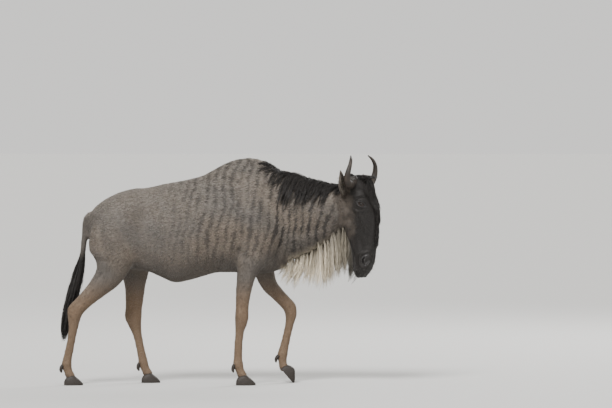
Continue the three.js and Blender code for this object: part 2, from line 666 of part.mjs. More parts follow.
// A flat tapered lock of hair along a path. Its width lies along the given way.
function lockSolid({ points, broad, wide, thick }, grow = 0) {
  const taper = [0.7, 1, 0.95, 0.72, 0.2];
  const halves = points.map((point, i) => {
    const share = taper[Math.round((i * (taper.length - 1)) / (points.length - 1))];
    return [wide * share, thick * Math.max(share, 0.35)];
  });
  return loft(pathRings(points, halves, broad, grow), around.lock);
}

function maneLocks() {
  const locks = [];
  for (let i = 0; i < mane.count; i++) {
    const share = i / (mane.count - 1);
    const side = i % 2 ? 1 : -1;
    const x = THREE.MathUtils.lerp(mane.from, mane.to, share) + vary(4);
    const layer = i % 4 < 2 ? 0 : mane.layer;
    const reach = 1 + vary(mane.reach);
    const drift = mane.drift * (0.25 + 0.75 * share) * (1 + vary(0.5));
    const points = mane.path.map(({ angle, lift }, k) => {
      const along = k / (mane.path.length - 1);
      const down = k < 2 ? angle : 90 - (90 - angle) * reach;
      return neckPoint(x - drift * along ** 1.5, down, side, lift + (k > 0 ? layer : 0));
    });
    locks.push({ points, broad: new THREE.Vector3(side, 0, 0), wide: mane.wide + vary(3), thick: mane.thick });
  }
  for (let i = 0; i < crest.count; i++) {
    const x = THREE.MathUtils.lerp(crest.from, crest.to, i / (crest.count - 1)) + vary(8);
    const side = i % 2 ? 1 : -1;
    const lean = crest.lean + vary(10);
    const points = [-12, 4, crest.rise, crest.rise + 3, crest.rise - 4].map((lift, k) =>
      neckPoint(x + (lean * k) / 3, 90 - k, side, lift + (k > 1 ? vary(3) : 0)),
    );
    locks.push({ points, broad: leftOfBody, wide: crest.wide, thick: crest.thick });
  }
  return locks;
}

// A lock that hangs from its root and swings a little, in the plane of the given way.
function hangingLock(root, length, swing, way, size) {
  const points = [0, 0.22, 0.5, 0.78, 1].map((share) =>
    root
      .clone()
      .addScaledVector(upward, -length * share)
      .addScaledVector(way, swing * share ** 1.8 + 5 * Math.sin(share * 6 + root.x)),
  );
  return { points, broad: way, ...size };
}

function beardLocks() {
  const locks = [];
  for (let i = 0; i < beard.count; i++) {
    const x = THREE.MathUtils.lerp(beard.from, beard.to, i / (beard.count - 1)) + vary(4);
    const aside = [-1, 1, 0][i % 3] * beard.spread;
    const root = neckPoint(x, -90 + Math.abs(aside), aside < 0 ? -1 : 1, -beard.rootDepth);
    const tip = rowAt(beard.tips, "x", x);
    const turn = THREE.MathUtils.degToRad(rowAt(neck, "x", x).turn);
    const ahead = new THREE.Vector3(Math.cos(turn), -Math.sin(turn), 0);
    const length = (root.z - tip.z) * (1 - 0.22 * chance());
    const size = { wide: beard.wide + vary(3), thick: beard.thick };
    locks.push(hangingLock(root, length, tip.swing + vary(8), ahead, size));
  }
  return locks;
}

function chinLocks() {
  return chin.locks.map(({ z, out, length, swing }) => {
    const root = headPoint(out, rowAt(head, "z", z).jaw + chin.rootDepth, z);
    const lock = hangingLock(root, length, swing, forward, { wide: chin.wide, thick: chin.thick });
    const skin = rowAt(head, "z", Math.max(z - chin.sink, 600)).jaw;
    lock.points.forEach((point, k) => {
      if (k > 0) point.addScaledVector(forward, skin - rowAt(head, "z", z).jaw - chin.rootDepth - 7);
    });
    return lock;
  });
}

function faceLocks() {
  return faceHair.locks.map(({ out, z, length }) => {
    const points = [0, 0.25, 0.5, 0.75, 1].map((share, k) => {
      const height = z - length * share;
      const row = rowAt(head, "z", height);
      const curve = Math.sqrt(1 - (out / row.half) ** 2);
      const stand = [-10, faceHair.stand, faceHair.stand + 1, faceHair.stand, 3][k];
      return headPoint(out * (1 + 0.1 * share), row.wide + (row.face - row.wide) * curve + stand, height);
    });
    return { points, broad: leftward, wide: faceHair.wide, thick: faceHair.thick };
  });
}

function tuftLocks() {
  const locks = [];
  const guide = (share, key) => {
    const at = THREE.MathUtils.clamp(share, 0, 1) * (tuftForm.length - 1);
    const first = Math.min(Math.floor(at), tuftForm.length - 2);
    return THREE.MathUtils.lerp(tuftForm[first][key], tuftForm[first + 1][key], at - first);
  };
  for (let i = 0; i < tuft.count; i++) {
    const start = (tuft.lastRoot * i) / (tuft.count - 1);
    const end = Math.min(start + THREE.MathUtils.lerp(tuft.shortest, tuft.longest, chance()), 1);
    const angle = i * 2.4;
    const points = [0, 0.8, 1, 1, 0.85].map((spread, k) => {
      const at = start + ((end - start) * k) / 4;
      const x = guide(at, "x") + Math.cos(angle) * (guide(at, "deep") - tuft.thick) * spread;
      return new THREE.Vector3(x, Math.sin(angle) * (guide(at, "wide") - tuft.thick) * spread, guide(at, "z"));
    });
    const broad = new THREE.Vector3(-Math.sin(angle), Math.cos(angle), 0);
    locks.push({ points, broad, wide: tuft.wide + vary(2), thick: tuft.thick });
  }
  return locks;
}

const locksOf = (locks, grow = 0) => join(locks.map((lock) => lockSolid(lock, grow)));
const chinHair = chinLocks();
const faceBrush = faceLocks();

// A small cone of horn behind the fetlock, one each side.
function dewclawSolid(leg, twin, grow = 0) {
  const fetlock = leg.rings.at(-4);
  const back = leg.rings.at(-3);
  const place = [fetlock.x - dewclaw.behind, leg.side * fetlock.y + twin * dewclaw.apart, fetlock.z - 4];
  const root = new THREE.Vector3(...place);
  const slope = new THREE.Vector3(back.x - fetlock.x, 0, back.z - fetlock.z).normalize();
  const rearward = new THREE.Vector3(slope.z, 0, -slope.x);
  const step = (down, behind) =>
    root.clone().addScaledVector(slope, down).addScaledVector(rearward, behind);
  const points = [step(-4, -2), step(6, 8), step(20, 15), step(34, 15)];
  const halves = dewclaw.halves.map((half) => [half, half * dewclaw.flatness]);
  return loft(pathRings(points, halves, leftOfBody, grow), around.dewclaw);
}

// A great slab that keeps all that lies in front of or behind the shoulder line.
function shoulderSlab(front) {
  const top = new THREE.Vector3(250, 0, 1180);
  const foot = new THREE.Vector3(330, 0, 590);
  const depth = 2000;
  const tilt = Math.atan2(foot.x - top.x, top.z - foot.z);
  const slab = new THREE.BoxGeometry(depth, 1000, 3000);
  slab.translate(((front ? 1 : -1) * (depth + gap)) / 2, 0, 0);
  slab.rotateY(-tilt);
  return solidOf(slab.translate((top.x + foot.x) / 2, 0, (top.z + foot.z) / 2));
}

const floorSlab = () => solidOf(new THREE.BoxGeometry(4000, 2000, 400).translate(0, 0, -200));

// All the pieces of the head that others must keep clear of, grown by a gap.
function headShell(grow) {
  const rolls = [];
  for (const side of Object.values(sides)) {
    rolls.push(headRoll(browBone, side), headRoll(cheekBone, side));
    rolls.push(ball({ ...eye, radius: eye.radius + lid.swell }, side, grow));
  }
  return join([skullSolid(grow), locksOf(chinHair, grow), ...rolls]);
}

function headSolid() {
  const fleshed = [headShell(0), locksOf(faceBrush)];
  const cuts = [];
  for (const [name, side] of Object.entries(sides)) {
    fleshed.push(headRoll(nostrilRim, side), headRoll(upperLip, side), headRoll(lowerLip, side));
    cuts.push(headRoll(nostrilHole, side), headRoll(mouthLine, side), slitSolid(side));
    cuts.push(ball(eye, side, gap), hornSolid(side, gap), earSolid(ears[name], gap));
  }
  return largest(join(fleshed).subtract(join(cuts)));
}

const group = new THREE.Group();
const colours = { hide: 0x5f564c, face: 0x1d1a17, horn: 0x2b2622, hoof: 0x1c1a18, eye: 0x120c08 };

function addNode(name, solid, colour, roughness) {
  const material = new THREE.MeshStandardMaterial({ color: colour, roughness, metalness: 0 });
  const mesh = new THREE.Mesh(geometryOf(solid), material);
  mesh.name = name;
  group.add(mesh);
}

const allLegs = (grow) => join(Object.values(legs).map((leg) => legSolid(leg, grow)));

// Trunk and neck are one form, parted at the shoulder line.
function buildTrunk() {
  const whole = trunkSolid().add(neckSolid());
  const fleshBehind = whole.intersect(shoulderSlab(false));
  const torso = fleshBehind.subtract(allLegs(gap)).subtract(tailSolid(gap));
  addNode("torso", largest(torso), colours.hide, 0.8);
  const hair = locksOf([...maneLocks(), ...beardLocks()]);
  const fleshAhead = whole.add(hair).intersect(shoulderSlab(true));
  const inTheWay = [headShell(gap), locksOf(faceBrush, gap), allLegs(gap)];
  for (const [name, side] of Object.entries(sides)) {
    inTheWay.push(hornSolid(side, gap), earSolid(ears[name], gap));
  }
  addNode("neck", largest(fleshAhead.subtract(join(inTheWay))), colours.hide, 0.8);
}

function buildHead() {
  addNode("head", headSolid(), colours.face, 0.8);
  for (const [name, side] of Object.entries(sides)) {
    addNode(`horn_${name}`, hornSolid(side), colours.horn, 0.5);
    addNode(`ear_${name}`, earSolid(ears[name]), colours.hide, 0.8);
    addNode(`eye_${name}`, ball(eye, side), colours.eye, 0.2);
  }
}

function buildLegs() {
  for (const [name, leg] of Object.entries(legs)) {
    const [place, foot] = Object.entries(feet).find(([, one]) => one.leg === name);
    const pieces = [];
    for (const [twinName, twin] of Object.entries({ outer: leg.side, inner: -leg.side })) {
      const hoof = clawSolid(foot, twin).subtract(floorSlab());
      addNode(`hoof_${place}_${twinName}`, hoof, colours.hoof, 0.5);
      addNode(`dewclaw_${place}_${twinName}`, dewclawSolid(leg, twin), colours.hoof, 0.5);
      pieces.push(clawSolid(foot, twin, gap), dewclawSolid(leg, twin, gap));
    }
    addNode(name, largest(legSolid(leg).subtract(join(pieces))), colours.hide, 0.8);
  }
}

buildTrunk();
buildHead();
buildLegs();
addNode("tail", largest(tailSolid().add(locksOf(tuftLocks()))), colours.hide, 0.8);

// The origin is the middle of the footprint of the whole, on the floor.
const bounds = new THREE.Box3().setFromObject(group);
group.position.set(-(bounds.min.x + bounds.max.x) / 2, -(bounds.min.y + bounds.max.y) / 2, -bounds.min.z);

export default group;
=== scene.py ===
import math

import bmesh
import bpy
import numpy as np
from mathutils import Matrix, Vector
from mathutils.bvhtree import BVHTree


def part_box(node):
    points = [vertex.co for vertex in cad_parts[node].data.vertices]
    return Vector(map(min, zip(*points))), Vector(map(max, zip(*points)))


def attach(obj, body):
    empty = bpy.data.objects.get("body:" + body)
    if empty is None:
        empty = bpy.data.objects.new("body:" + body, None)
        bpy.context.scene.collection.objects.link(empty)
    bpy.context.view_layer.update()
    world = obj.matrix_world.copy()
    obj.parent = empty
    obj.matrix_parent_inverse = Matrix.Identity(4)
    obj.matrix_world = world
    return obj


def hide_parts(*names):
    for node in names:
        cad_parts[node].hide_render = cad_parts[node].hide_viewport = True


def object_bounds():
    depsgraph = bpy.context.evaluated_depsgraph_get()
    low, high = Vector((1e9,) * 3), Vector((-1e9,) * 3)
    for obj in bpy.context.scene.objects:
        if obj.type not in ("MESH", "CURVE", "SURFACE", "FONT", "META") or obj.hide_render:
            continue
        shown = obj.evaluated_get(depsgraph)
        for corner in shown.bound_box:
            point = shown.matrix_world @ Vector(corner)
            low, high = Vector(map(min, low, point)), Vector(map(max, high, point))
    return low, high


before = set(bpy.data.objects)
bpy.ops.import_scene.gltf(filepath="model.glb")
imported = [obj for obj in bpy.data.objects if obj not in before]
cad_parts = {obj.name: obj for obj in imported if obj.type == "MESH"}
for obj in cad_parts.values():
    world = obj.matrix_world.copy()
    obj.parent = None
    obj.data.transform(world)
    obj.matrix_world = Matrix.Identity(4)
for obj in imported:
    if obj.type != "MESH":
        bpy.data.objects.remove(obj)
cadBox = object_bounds()
mm = 0.001

# The animal's measures are in millimetres, +X ahead and +Y to its left.
headTurn = math.radians(28)
crown = np.array([739.0, -78.0, 0.0])
forward = np.array([math.cos(headTurn), -math.sin(headTurn), 0.0])
leftward = np.array([math.sin(headTurn), math.cos(headTurn), 0.0])
upward = np.array([0.0, 0.0, 1.0])
bodyLeft = np.array([0.0, 1.0, 0.0])
sideWord = {-1: "right", 1: "left"}

# x, top, widest line, belly, half width, power above, power below
trunk = [
    (-697, 868, 845, 822, 22, 1, 1),
    (-688, 902, 838, 765, 66, 1, 1),
    (-655, 945, 828, 705, 122, 1, 0.95),
    (-600, 985, 815, 655, 162, 1.02, 0.95),
    (-530, 1018, 805, 622, 180, 1.08, 0.95),
    (-456, 1037, 795, 604, 184, 1.12, 0.95),
    (-380, 1043, 785, 596, 180, 1.12, 0.95),
    (-310, 1059, 775, 567, 190, 1.12, 0.95),
    (-240, 1072, 768, 540, 206, 1.14, 0.95),
    (-160, 1088, 772, 552, 214, 1.18, 0.95),
    (-85, 1110, 782, 573, 210, 1.24, 0.95),
    (-20, 1146, 800, 590, 202, 1.34, 0.97),
    (50, 1182, 820, 592, 194, 1.42, 1),
    (120, 1200, 835, 590, 186, 1.46, 1),
    (190, 1199, 845, 586, 178, 1.44, 1),
    (255, 1175, 850, 588, 166, 1.36, 1.02),
    (310, 1138, 850, 604, 148, 1.2, 1.05),
    (352, 1090, 850, 632, 118, 1.1, 1.05),
    (380, 1010, 850, 690, 66, 1, 1),
]
# x, y, turn, top, widest line, low, half width, power above, power below
neck = [
    (215, 0, 0, 1145, 890, 640, 118, 1.2, 1),
    (290, 0, 2, 1127, 885, 640, 134, 1.22, 1.05),
    (360, -3, 5, 1108, 885, 650, 130, 1.22, 1.08),
    (430, -9, 9, 1092, 892, 674, 119, 1.2, 1.1),
    (500, -20, 14, 1076, 902, 708, 109, 1.16, 1.1),
    (565, -35, 20, 1060, 915, 748, 100, 1.1, 1.1),
    (630, -52, 26, 1050, 930, 800, 88, 1.05, 1.05),
    (680, -62, 28, 1044, 950, 850, 64, 1, 1),
]
# z, face, widest line, jaw, half width, power of the face, power of the jaw
head = [
    (1104, 8, -14, -34, 24, 1, 1),
    (1097, 38, -12, -58, 56, 0.9, 0.9),
    (1078, 56, -8, -80, 73, 0.85, 0.95),
    (1046, 68, 0, -96, 80, 0.85, 1),
    (1012, 70, 8, -106, 82, 0.85, 1.05),
    (984, 82, 14, -112, 83, 0.9, 1.1),
    (955, 95, 16, -116, 82, 0.95, 1.1),
    (925, 106, 10, -118, 76, 1, 1.1),
    (885, 108, -2, -114, 68, 1, 1),
    (840, 106, -4, -98, 60, 0.98, 1),
    (795, 103, 4, -76, 54, 0.95, 1),
    (750, 100, 12, -56, 51, 0.9, 1),
    (708, 93, 18, -42, 53, 0.82, 1),
    (672, 86, 20, -34, 58, 0.75, 0.95),
    (640, 75, 18, -30, 60, 0.72, 0.9),
    (610, 62, 14, -28, 58, 0.75, 0.85),
    (586, 47, 10, -22, 50, 0.8, 0.85),
    (571, 32, 8, -12, 36, 0.9, 0.9),
    (566, 18, 6, -2, 18, 1, 1),
]
# side, then x, z, distance from the middle, half depth, half width
legs = {
    "foreRight": (-1, [
        (150, 1050, 74, 34, 24), (166, 1000, 92, 66, 44), (190, 920, 112, 92, 60), (208, 830, 124, 108, 66),
        (204, 745, 124, 106, 64), (172, 670, 122, 84, 56), (146, 605, 118, 58, 46), (132, 530, 114, 44, 38),
        (123, 460, 110, 37, 33), (119, 405, 107, 34, 31), (117, 362, 105, 36, 35), (113, 325, 104, 32, 31),
        (106, 286, 103, 24, 23), (100, 215, 102, 22, 20), (97, 142, 101, 25, 22), (98, 108, 101, 29, 27),
        (108, 76, 101, 24, 25), (122, 46, 101, 27, 31), (129, 28, 101, 20, 26),
    ]),
    "foreLeft": (1, [
        (158, 1050, 74, 34, 24), (178, 1000, 92, 66, 44), (210, 920, 112, 92, 60), (236, 830, 124, 106, 66),
        (244, 745, 124, 98, 64), (232, 670, 121, 78, 54), (232, 600, 117, 58, 46), (262, 520, 112, 43, 38),
        (304, 472, 108, 36, 33), (342, 432, 105, 34, 31), (368, 402, 103, 35, 34), (376, 364, 101, 31, 31),
        (370, 322, 100, 24, 23), (354, 250, 98, 22, 20), (337, 178, 96, 25, 22), (330, 146, 96, 29, 27),
        (331, 110, 96, 24, 25), (338, 80, 96, 26, 31), (343, 62, 96, 20, 26),
    ]),
    "hindRight": (-1, [
        (-545, 935, 86, 40, 30), (-550, 885, 98, 92, 62), (-556, 800, 112, 126, 78), (-560, 715, 118, 128, 76),
        (-560, 640, 118, 98, 66), (-588, 575, 114, 74, 54), (-636, 520, 110, 56, 43), (-684, 472, 107, 45, 35),
        (-728, 428, 105, 40, 31), (-762, 390, 103, 42, 32), (-768, 345, 102, 32, 28), (-774, 290, 101, 24, 22),
        (-788, 210, 100, 22, 20), (-803, 140, 99, 25, 23), (-808, 106, 99, 29, 27), (-800, 74, 99, 24, 25),
        (-787, 45, 99, 27, 30), (-781, 28, 99, 20, 25),
    ]),
    "hindLeft": (1, [
        (-520, 935, 86, 40, 30), (-515, 885, 98, 92, 62), (-500, 800, 112, 122, 78), (-480, 715, 118, 118, 76),
        (-464, 645, 118, 96, 66), (-456, 580, 114, 74, 54), (-456, 515, 110, 55, 43), (-458, 450, 107, 48, 36),
        (-462, 395, 105, 44, 32), (-465, 352, 103, 46, 32), (-456, 308, 102, 34, 28), (-444, 262, 101, 25, 22),
        (-430, 195, 100, 22, 20), (-417, 136, 99, 25, 23), (-412, 104, 99, 29, 27), (-400, 73, 99, 24, 25),
        (-386, 45, 99, 27, 30), (-380, 28, 99, 20, 25),
    ]),
}
# x, z, half depth, half width
tail = [
    (-664, 902, 14, 16), (-686, 898, 19, 24), (-704, 880, 21, 25), (-713, 846, 20, 24), (-717, 800, 19, 22),
    (-721, 750, 19, 20), (-727, 700, 19, 19), (-737, 650, 19, 18), (-748, 600, 18, 17), (-764, 540, 16, 14),
    (-780, 480, 12, 10), (-790, 440, 7, 5),
]
# between its two claws: x, y, lift, degrees that it is tipped on its toes, and size
feet = {
    "foreRight": (133, -101, 0, 0, 1.05),
    "foreLeft": (352, 96, 40, 50, 1.05),
    "hindRight": (-776, -99, 0, 0, 1.0),
    "hindLeft": (-376, 99, 0, 0, 1.0),
}
eye = {"out": 63, "ahead": 42, "z": 955, "radius": 21}


def headPoint(out, ahead, z):
    return crown + leftward * out + forward * ahead + upward * z


def eyeCentre(side):
    return headPoint(eye["out"] * side, eye["ahead"], eye["z"])


# The solids' own eye gives the step from the animal's measures to the shared frame.
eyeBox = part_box("eye_right")
shift = (np.array(eyeBox[0]) + np.array(eyeBox[1])) / 2 - eyeCentre(-1) * mm


def toWorld(points):
    return np.asarray(points, float) * mm + shift


def unit(v):
    v = np.asarray(v, float)
    return v / np.maximum(np.linalg.norm(v, axis=-1, keepdims=True), 1e-9)


# A row of a table between two of its own, by the value of one column.
def rowAt(rows, key, value):
    table = np.array(rows, float)
    if table[0, key] > table[-1, key]:
        table = table[::-1]
    return [float(np.interp(value, table[:, key], table[:, k])) for k in range(table.shape[1])]


# Rows along a smooth curve through the given ones.
def smoothRows(rows, count):
    rows = np.asarray(rows, float)
    gaps = np.linalg.norm(np.diff(rows[:, :3], axis=0), axis=1)
    along = np.concatenate([[0], np.cumsum(np.sqrt(gaps))])
    out = []
    for t in np.linspace(0, along[-1], count):
        i = int(np.clip(np.searchsorted(along, t) - 1, 0, len(rows) - 2))
        a, b = rows[i], rows[i + 1]
        span = along[i + 1] - along[i]
        u = (t - along[i]) / span
        before = (b - rows[i - 1]) / (along[i + 1] - along[i - 1]) if i > 0 else (b - a) / span
        after = (rows[i + 2] - a) / (along[i + 2] - along[i]) if i + 2 < len(rows) else (b - a) / span
        out.append(
            (2 * u**3 - 3 * u**2 + 1) * a + (u**3 - 2 * u**2 + u) * span * before
            + (-2 * u**3 + 3 * u**2) * b + (u**3 - u**2) * span * after
        )
    return np.array(out)


# A ring is its middle, half axes to the side, up and down, and the powers of its upper and lower halves.
# The trunk's rows stand on the middle line, so they have no y and no turn.
def ringsUpright(rows):
    rings = []
    for row in rows:
        x, y, turn, top, mid, low, half, up, down = row if len(row) == 9 else (row[0], 0, 0, *row[1:])
        t = math.radians(turn)
        side = np.array([math.sin(t), math.cos(t), 0]) * half
        rings.append(np.concatenate([[x, y, mid], side, [0, 0, top - mid], [0, 0, low - mid], [up, down]]))
    return rings


def ringsHead():
    rings = []
    for z, face, wide, jaw, half, front, back in head:
        ahead, behind = forward * (face - wide), forward * (jaw - wide)
        rings.append(np.concatenate([headPoint(0, wide, z), leftward * half, ahead, behind, [front, back]]))
    return rings


# Rings square to a path, with their side along the given way.
def ringsPath(points, halves, sideways):
    points = np.asarray(points, float)
    rings = []
    for i, centre in enumerate(points):
        along = unit(points[min(i + 1, len(points) - 1)] - points[max(i - 1, 0)])
        side = unit(sideways - along * np.dot(sideways, along))
        rise = np.cross(side, along)
        wide, deep = halves[i]
        rings.append(np.concatenate([centre, side * wide, rise * deep, -rise * deep, [1, 1]]))
    return rings


# A closed tube whose grid is bent onto the rings, with its ends drawn in and closed.
def loft(rings, around, count, settle=None):
    rings = smoothRows(rings, count)
    bm = bmesh.new()
    bmesh.ops.create_grid(bm, x_segments=around, y_segments=count - 1, size=0.5)
    bm.verts.ensure_lookup_table()
    flat = np.array([v.co[:] for v in bm.verts])
    u = (flat[:, 0] + 0.5) * 2 * math.pi
    at = np.clip((flat[:, 1] + 0.5) * (count - 1), 0, count - 1)
    row = rings[np.round(at).astype(int)]
    c, s = np.cos(u)[:, None], np.sin(u)[:, None]
    power = np.where(s > 0, row[:, 12:13], row[:, 13:14])
    across = np.sign(c) * np.abs(c) ** power
    updown = np.where(s > 0, row[:, 6:9], row[:, 9:12])
    points = row[:, 0:3] + row[:, 3:6] * across + updown * np.abs(s) ** power
    for v, p in zip(bm.verts, toWorld(settle(points) if settle else points)):
        v.co = p
    bmesh.ops.remove_doubles(bm, verts=bm.verts, dist=0.00002)
    bmesh.ops.holes_fill(bm, edges=[e for e in bm.edges if e.is_boundary], sides=0)
    bmesh.ops.recalc_face_normals(bm, faces=bm.faces)
    return bm


def newObject(name, data):
    piece = bpy.data.objects.new(name, data)
    bpy.context.scene.collection.objects.link(piece)
    return piece


# Adds a part to a bmesh and frees the part.
def addPart(whole, part):
    temp = bpy.data.meshes.new("part")
    part.to_mesh(temp)
    whole.from_mesh(temp)
    bpy.data.meshes.remove(temp)
    part.free()


def toMesh(bm, name):
    mesh = bpy.data.meshes.new(name)
    bm.to_mesh(mesh)
    bm.free()
    smoothAll(mesh)
    return mesh


def smoothAll(mesh):
    mesh.polygons.foreach_set("use_smooth", np.ones(len(mesh.polygons), bool))


def readAll(items, field, width, kind=float):
    values = np.empty(len(items) * width, kind)
    items.foreach_get(field, values)
    return values.reshape(-1, width)


def coordinates(mesh):
    return readAll(mesh.vertices, "co", 3)


def normalsOf(mesh):
    mesh.update()
    return readAll(mesh.vertices, "normal", 3)


def trianglesOf(mesh):
    mesh.calc_loop_triangles()
    return readAll(mesh.loop_triangles, "vertices", 3, np.int32)


def putCoordinates(mesh, places):
    mesh.vertices.foreach_set("co", places.ravel())
    mesh.update()


def putAttribute(mesh, name, kind, field, values):
    mesh.attributes.new(name, kind, "POINT").data.foreach_set(field, values.astype(np.float32).ravel())


def dress(piece, material):
    piece.data.materials.clear()
    piece.data.materials.append(material)


def smoothstep(low, high, value):
    t = np.clip((value - low) / (high - low), 0, 1)
    return t * t * (3 - 2 * t)


# The skin lies inside the solids by the depth of the coat, less on the head and the legs.
skinShape = {"voxel": 0.0087, "smoothing": 6, "bodyInset": 3.0, "fineInset": 1.2, "legGain": 2.2}
# z, ahead, out, radius: the bones round the eye and the two masses of the cheek
headBumps = ((955, 40, 62, 27), (905, -40, 38, 44), (850, -30, 28, 44))


def buildSkin():
    whole = bmesh.new()
    addPart(whole, loft(ringsUpright(trunk), 72, 120))
    addPart(whole, loft(ringsUpright(neck), 64, 50))
    addPart(whole, loft(ringsHead(), 72, 90))
    tailPath, tailHalves = [(x, 0, z) for x, z, d, w in tail], [(w, d) for x, z, d, w in tail]
    addPart(whole, loft(ringsPath(tailPath, tailHalves, bodyLeft), 20, 60))
    for side, rows in legs.values():
        path, halves = [(x, y * side, z) for x, z, y, d, w in rows], [(w, d) for x, z, y, d, w in rows]
        addPart(whole, loft(ringsPath(path, halves, bodyLeft), 36, 110))
    for side in (-1, 1):
        for z, ahead, out, radius in headBumps:
            ball = bmesh.new()
            bmesh.ops.create_icosphere(ball, subdivisions=3, radius=radius * mm)
            bmesh.ops.translate(ball, verts=ball.verts, vec=Vector(toWorld(headPoint(out * side, ahead, z))))
            addPart(whole, ball)
    skin = newObject("skin", toMesh(whole, "skin"))
    remesh = skin.modifiers.new("remesh", "REMESH")
    remesh.mode = "VOXEL"
    remesh.voxel_size = skinShape["voxel"]
    smooth = skin.modifiers.new("smooth", "SMOOTH")
    smooth.factor = 0.5
    smooth.iterations = skinShape["smoothing"]
    graph = bpy.context.evaluated_depsgraph_get()
    mesh = bpy.data.meshes.new_from_object(skin.evaluated_get(graph))
    skin.modifiers.clear()
    skin.data = mesh
    return skin


def localOf(places):
    return (places - shift) / mm


# A place on the head's skin, by its angle from the widest line towards the face, and its height.
def skinPoint(angle, z, side, lift=0.0):
    _, face, wide, jaw, half, front, back = rowAt(head, 0, z)
    c, s = math.cos(math.radians(angle)), math.sin(math.radians(angle))
    power = front if s > 0 else back
    depth = face - wide if s > 0 else wide - jaw
    out = abs(c) ** power * half + c * lift
    ahead = wide + math.copysign(abs(s) ** power * depth, s) + s * lift
    return headPoint(out * side, ahead, z)


# Cuts the faces near the given places into smaller ones.
def refine(mesh, places, radius):
    bm = bmesh.new()
    bm.from_mesh(mesh)
    centres = np.array([f.calc_center_median()[:] for f in bm.faces])
    close = np.zeros(len(centres), bool)
    for place, reach in zip(toWorld(places), radius):
        close |= np.linalg.norm(centres - place, axis=1) < reach * mm
    bm.faces.ensure_lookup_table()
    edges = {e for i in np.nonzero(close)[0] for e in bm.faces[i].edges}
    bmesh.ops.subdivide_edges(bm, edges=list(edges), cuts=1, use_grid_fill=True, smooth=0.6)
    bmesh.ops.triangulate(bm, faces=[f for f in bm.faces if len(f.verts) > 4])
    bm.to_mesh(mesh)
    bm.free()
    mesh.update()


# A place on the curve through p1 and p2, with the places before and after them.
def curveAt(p0, p1, p2, p3, t):
    square, cube = 2 * p0 - 5 * p1 + 4 * p2 - p3, 3 * p1 - p0 - 3 * p2 + p3
    return 0.5 * (2 * p1 + (p2 - p0) * t + square * t**2 + cube * t**3)


# A curve through a few places, as many short steps.
def smoothLine(line, steps=8):
    line = np.asarray(line, float)
    if len(line) < 3:
        return line
    ends = np.concatenate([[2 * line[0] - line[1]], line, [2 * line[-1] - line[-2]]])
    shares = np.arange(steps) / steps
    out = [curveAt(*ends[k - 1:k + 3], t) for k in range(1, len(ends) - 2) for t in shares]
    return np.array(out + [line[-1]])


# Evens out the skin where the mask says so.
def relax(mesh, mask, times, strength=0.5):
    places = coordinates(mesh)
    a, b = readAll(mesh.edges, "vertices", 2, np.int32).T
    near = np.bincount(np.concatenate([a, b]), minlength=len(places))
    for _ in range(times):
        total = np.empty_like(places)
        for k in range(3):
            weights = np.concatenate([places[b, k], places[a, k]])
            total[:, k] = np.bincount(np.concatenate([a, b]), weights=weights, minlength=len(places))
        middle = total / np.maximum(near, 1)[:, None]
        places = places + (middle - places) * (mask * strength)[:, None]
    putCoordinates(mesh, places)


# How far each point is from a line of places, and how far along the line its nearest place is.
def distanceTo(points, line):
    best = np.full(len(points), 1e9)
    along = np.zeros(len(points))
    for k in range(len(line) - 1):
        a, b = line[k], line[k + 1]
        ab = b - a
        t = np.clip(((points - a) @ ab) / max(ab @ ab, 1e-12), 0, 1)
        d = np.linalg.norm(points - (a + t[:, None] * ab), axis=1)
        closer = d < best
        best = np.where(closer, d, best)
        along = np.where(closer, (k + t) / (len(line) - 1), along)
    return best, along


# The points near a line, and how strongly a stroke along it works there: it fades over its width
# and at its ends.
def strokeShape(points, wanted, line, width, fade, edge=1.0):
    low, high = line.min(0) - width * mm, line.max(0) + width * mm
    near = np.nonzero(wanted & np.all((points > low) & (points < high), axis=1))[0]
    distance, along = distanceTo(points[near], line)
    fall = np.clip(1 - distance / (width * mm), 0, 1)
    shape = (fall * fall * (3 - 2 * fall)) ** edge
    if fade and len(line) > 1:
        shape = shape * smoothstep(0, fade, along + 0.03) * smoothstep(0, fade, 1.03 - along)
    return near, shape


# One stroke pushes the skin out or in along a line, on one half of the head only where that is given.
def stroke(places, normals, line, width, height, fade=0.12, edge=1.0, half=0):
    near, shape = strokeShape(places, True, smoothLine([toWorld(p) for p in line]), width, fade, edge)
    if half:
        shape = shape * smoothstep(-6, 6, ((localOf(places[near]) - crown) @ leftward) * half)
    places[near] += normals[near] * (shape * height * mm)[:, None]


# A stroke on the flank of the body or a leg: its line is given by x and z only.
def sideStroke(places, normals, side, line, width, height, fade):
    line = smoothLine([toWorld((x, 0, z))[[0, 2]] for x, z in line])
    if np.linalg.norm(np.diff(line, axis=0), axis=1).sum() < 2 * width * mm:
        fade = 0
    outer = (places[:, 1] - toWorld((0, 0, 0))[1]) * side > 0.02
    near, shape = strokeShape(places[:, [0, 2]], outer, line, width, fade)
    facing = smoothstep(0.1, 0.6, normals[near, 1] * side)
    places[near] += normals[near] * (shape * facing * height * mm)[:, None]


# line in x and z, width, height: on both flanks
flankForms = [
    ([(196, 1100), (205, 1000), (222, 900), (232, 800)], 44, 6),
    ([(120, 1110), (150, 1000), (176, 900)], 56, -5),
    ([(60, 1060), (120, 960), (150, 860), (150, 760)], 60, 5),
    ([(236, 820), (240, 760), (214, 700)], 60, 7),
    ([(90, 730), (120, 690), (150, 650)], 42, -7),
    ([(60, 780), (20, 760), (-40, 740)], 80, -5),
    ([(-438, 968), (-458, 935)], 78, 10),
    ([(-395, 880), (-405, 800)], 110, -12),
    ([(-352, 730), (-400, 690)], 80, -6),
    ([(-480, 990), (-570, 958), (-640, 900)], 60, 4),
    ([(-480, 890), (-530, 840), (-560, 780)], 110, 8),
    ([(-330, 610), (-420, 642), (-452, 690)], 44, 6),
    ([(280, 1060), (330, 960), (352, 860)], 40, -5),
    ([(330, 1030), (400, 960), (470, 900), (560, 880)], 55, 4),
    ([(330, 800), (420, 800), (520, 830), (620, 880)], 36, -4),
]
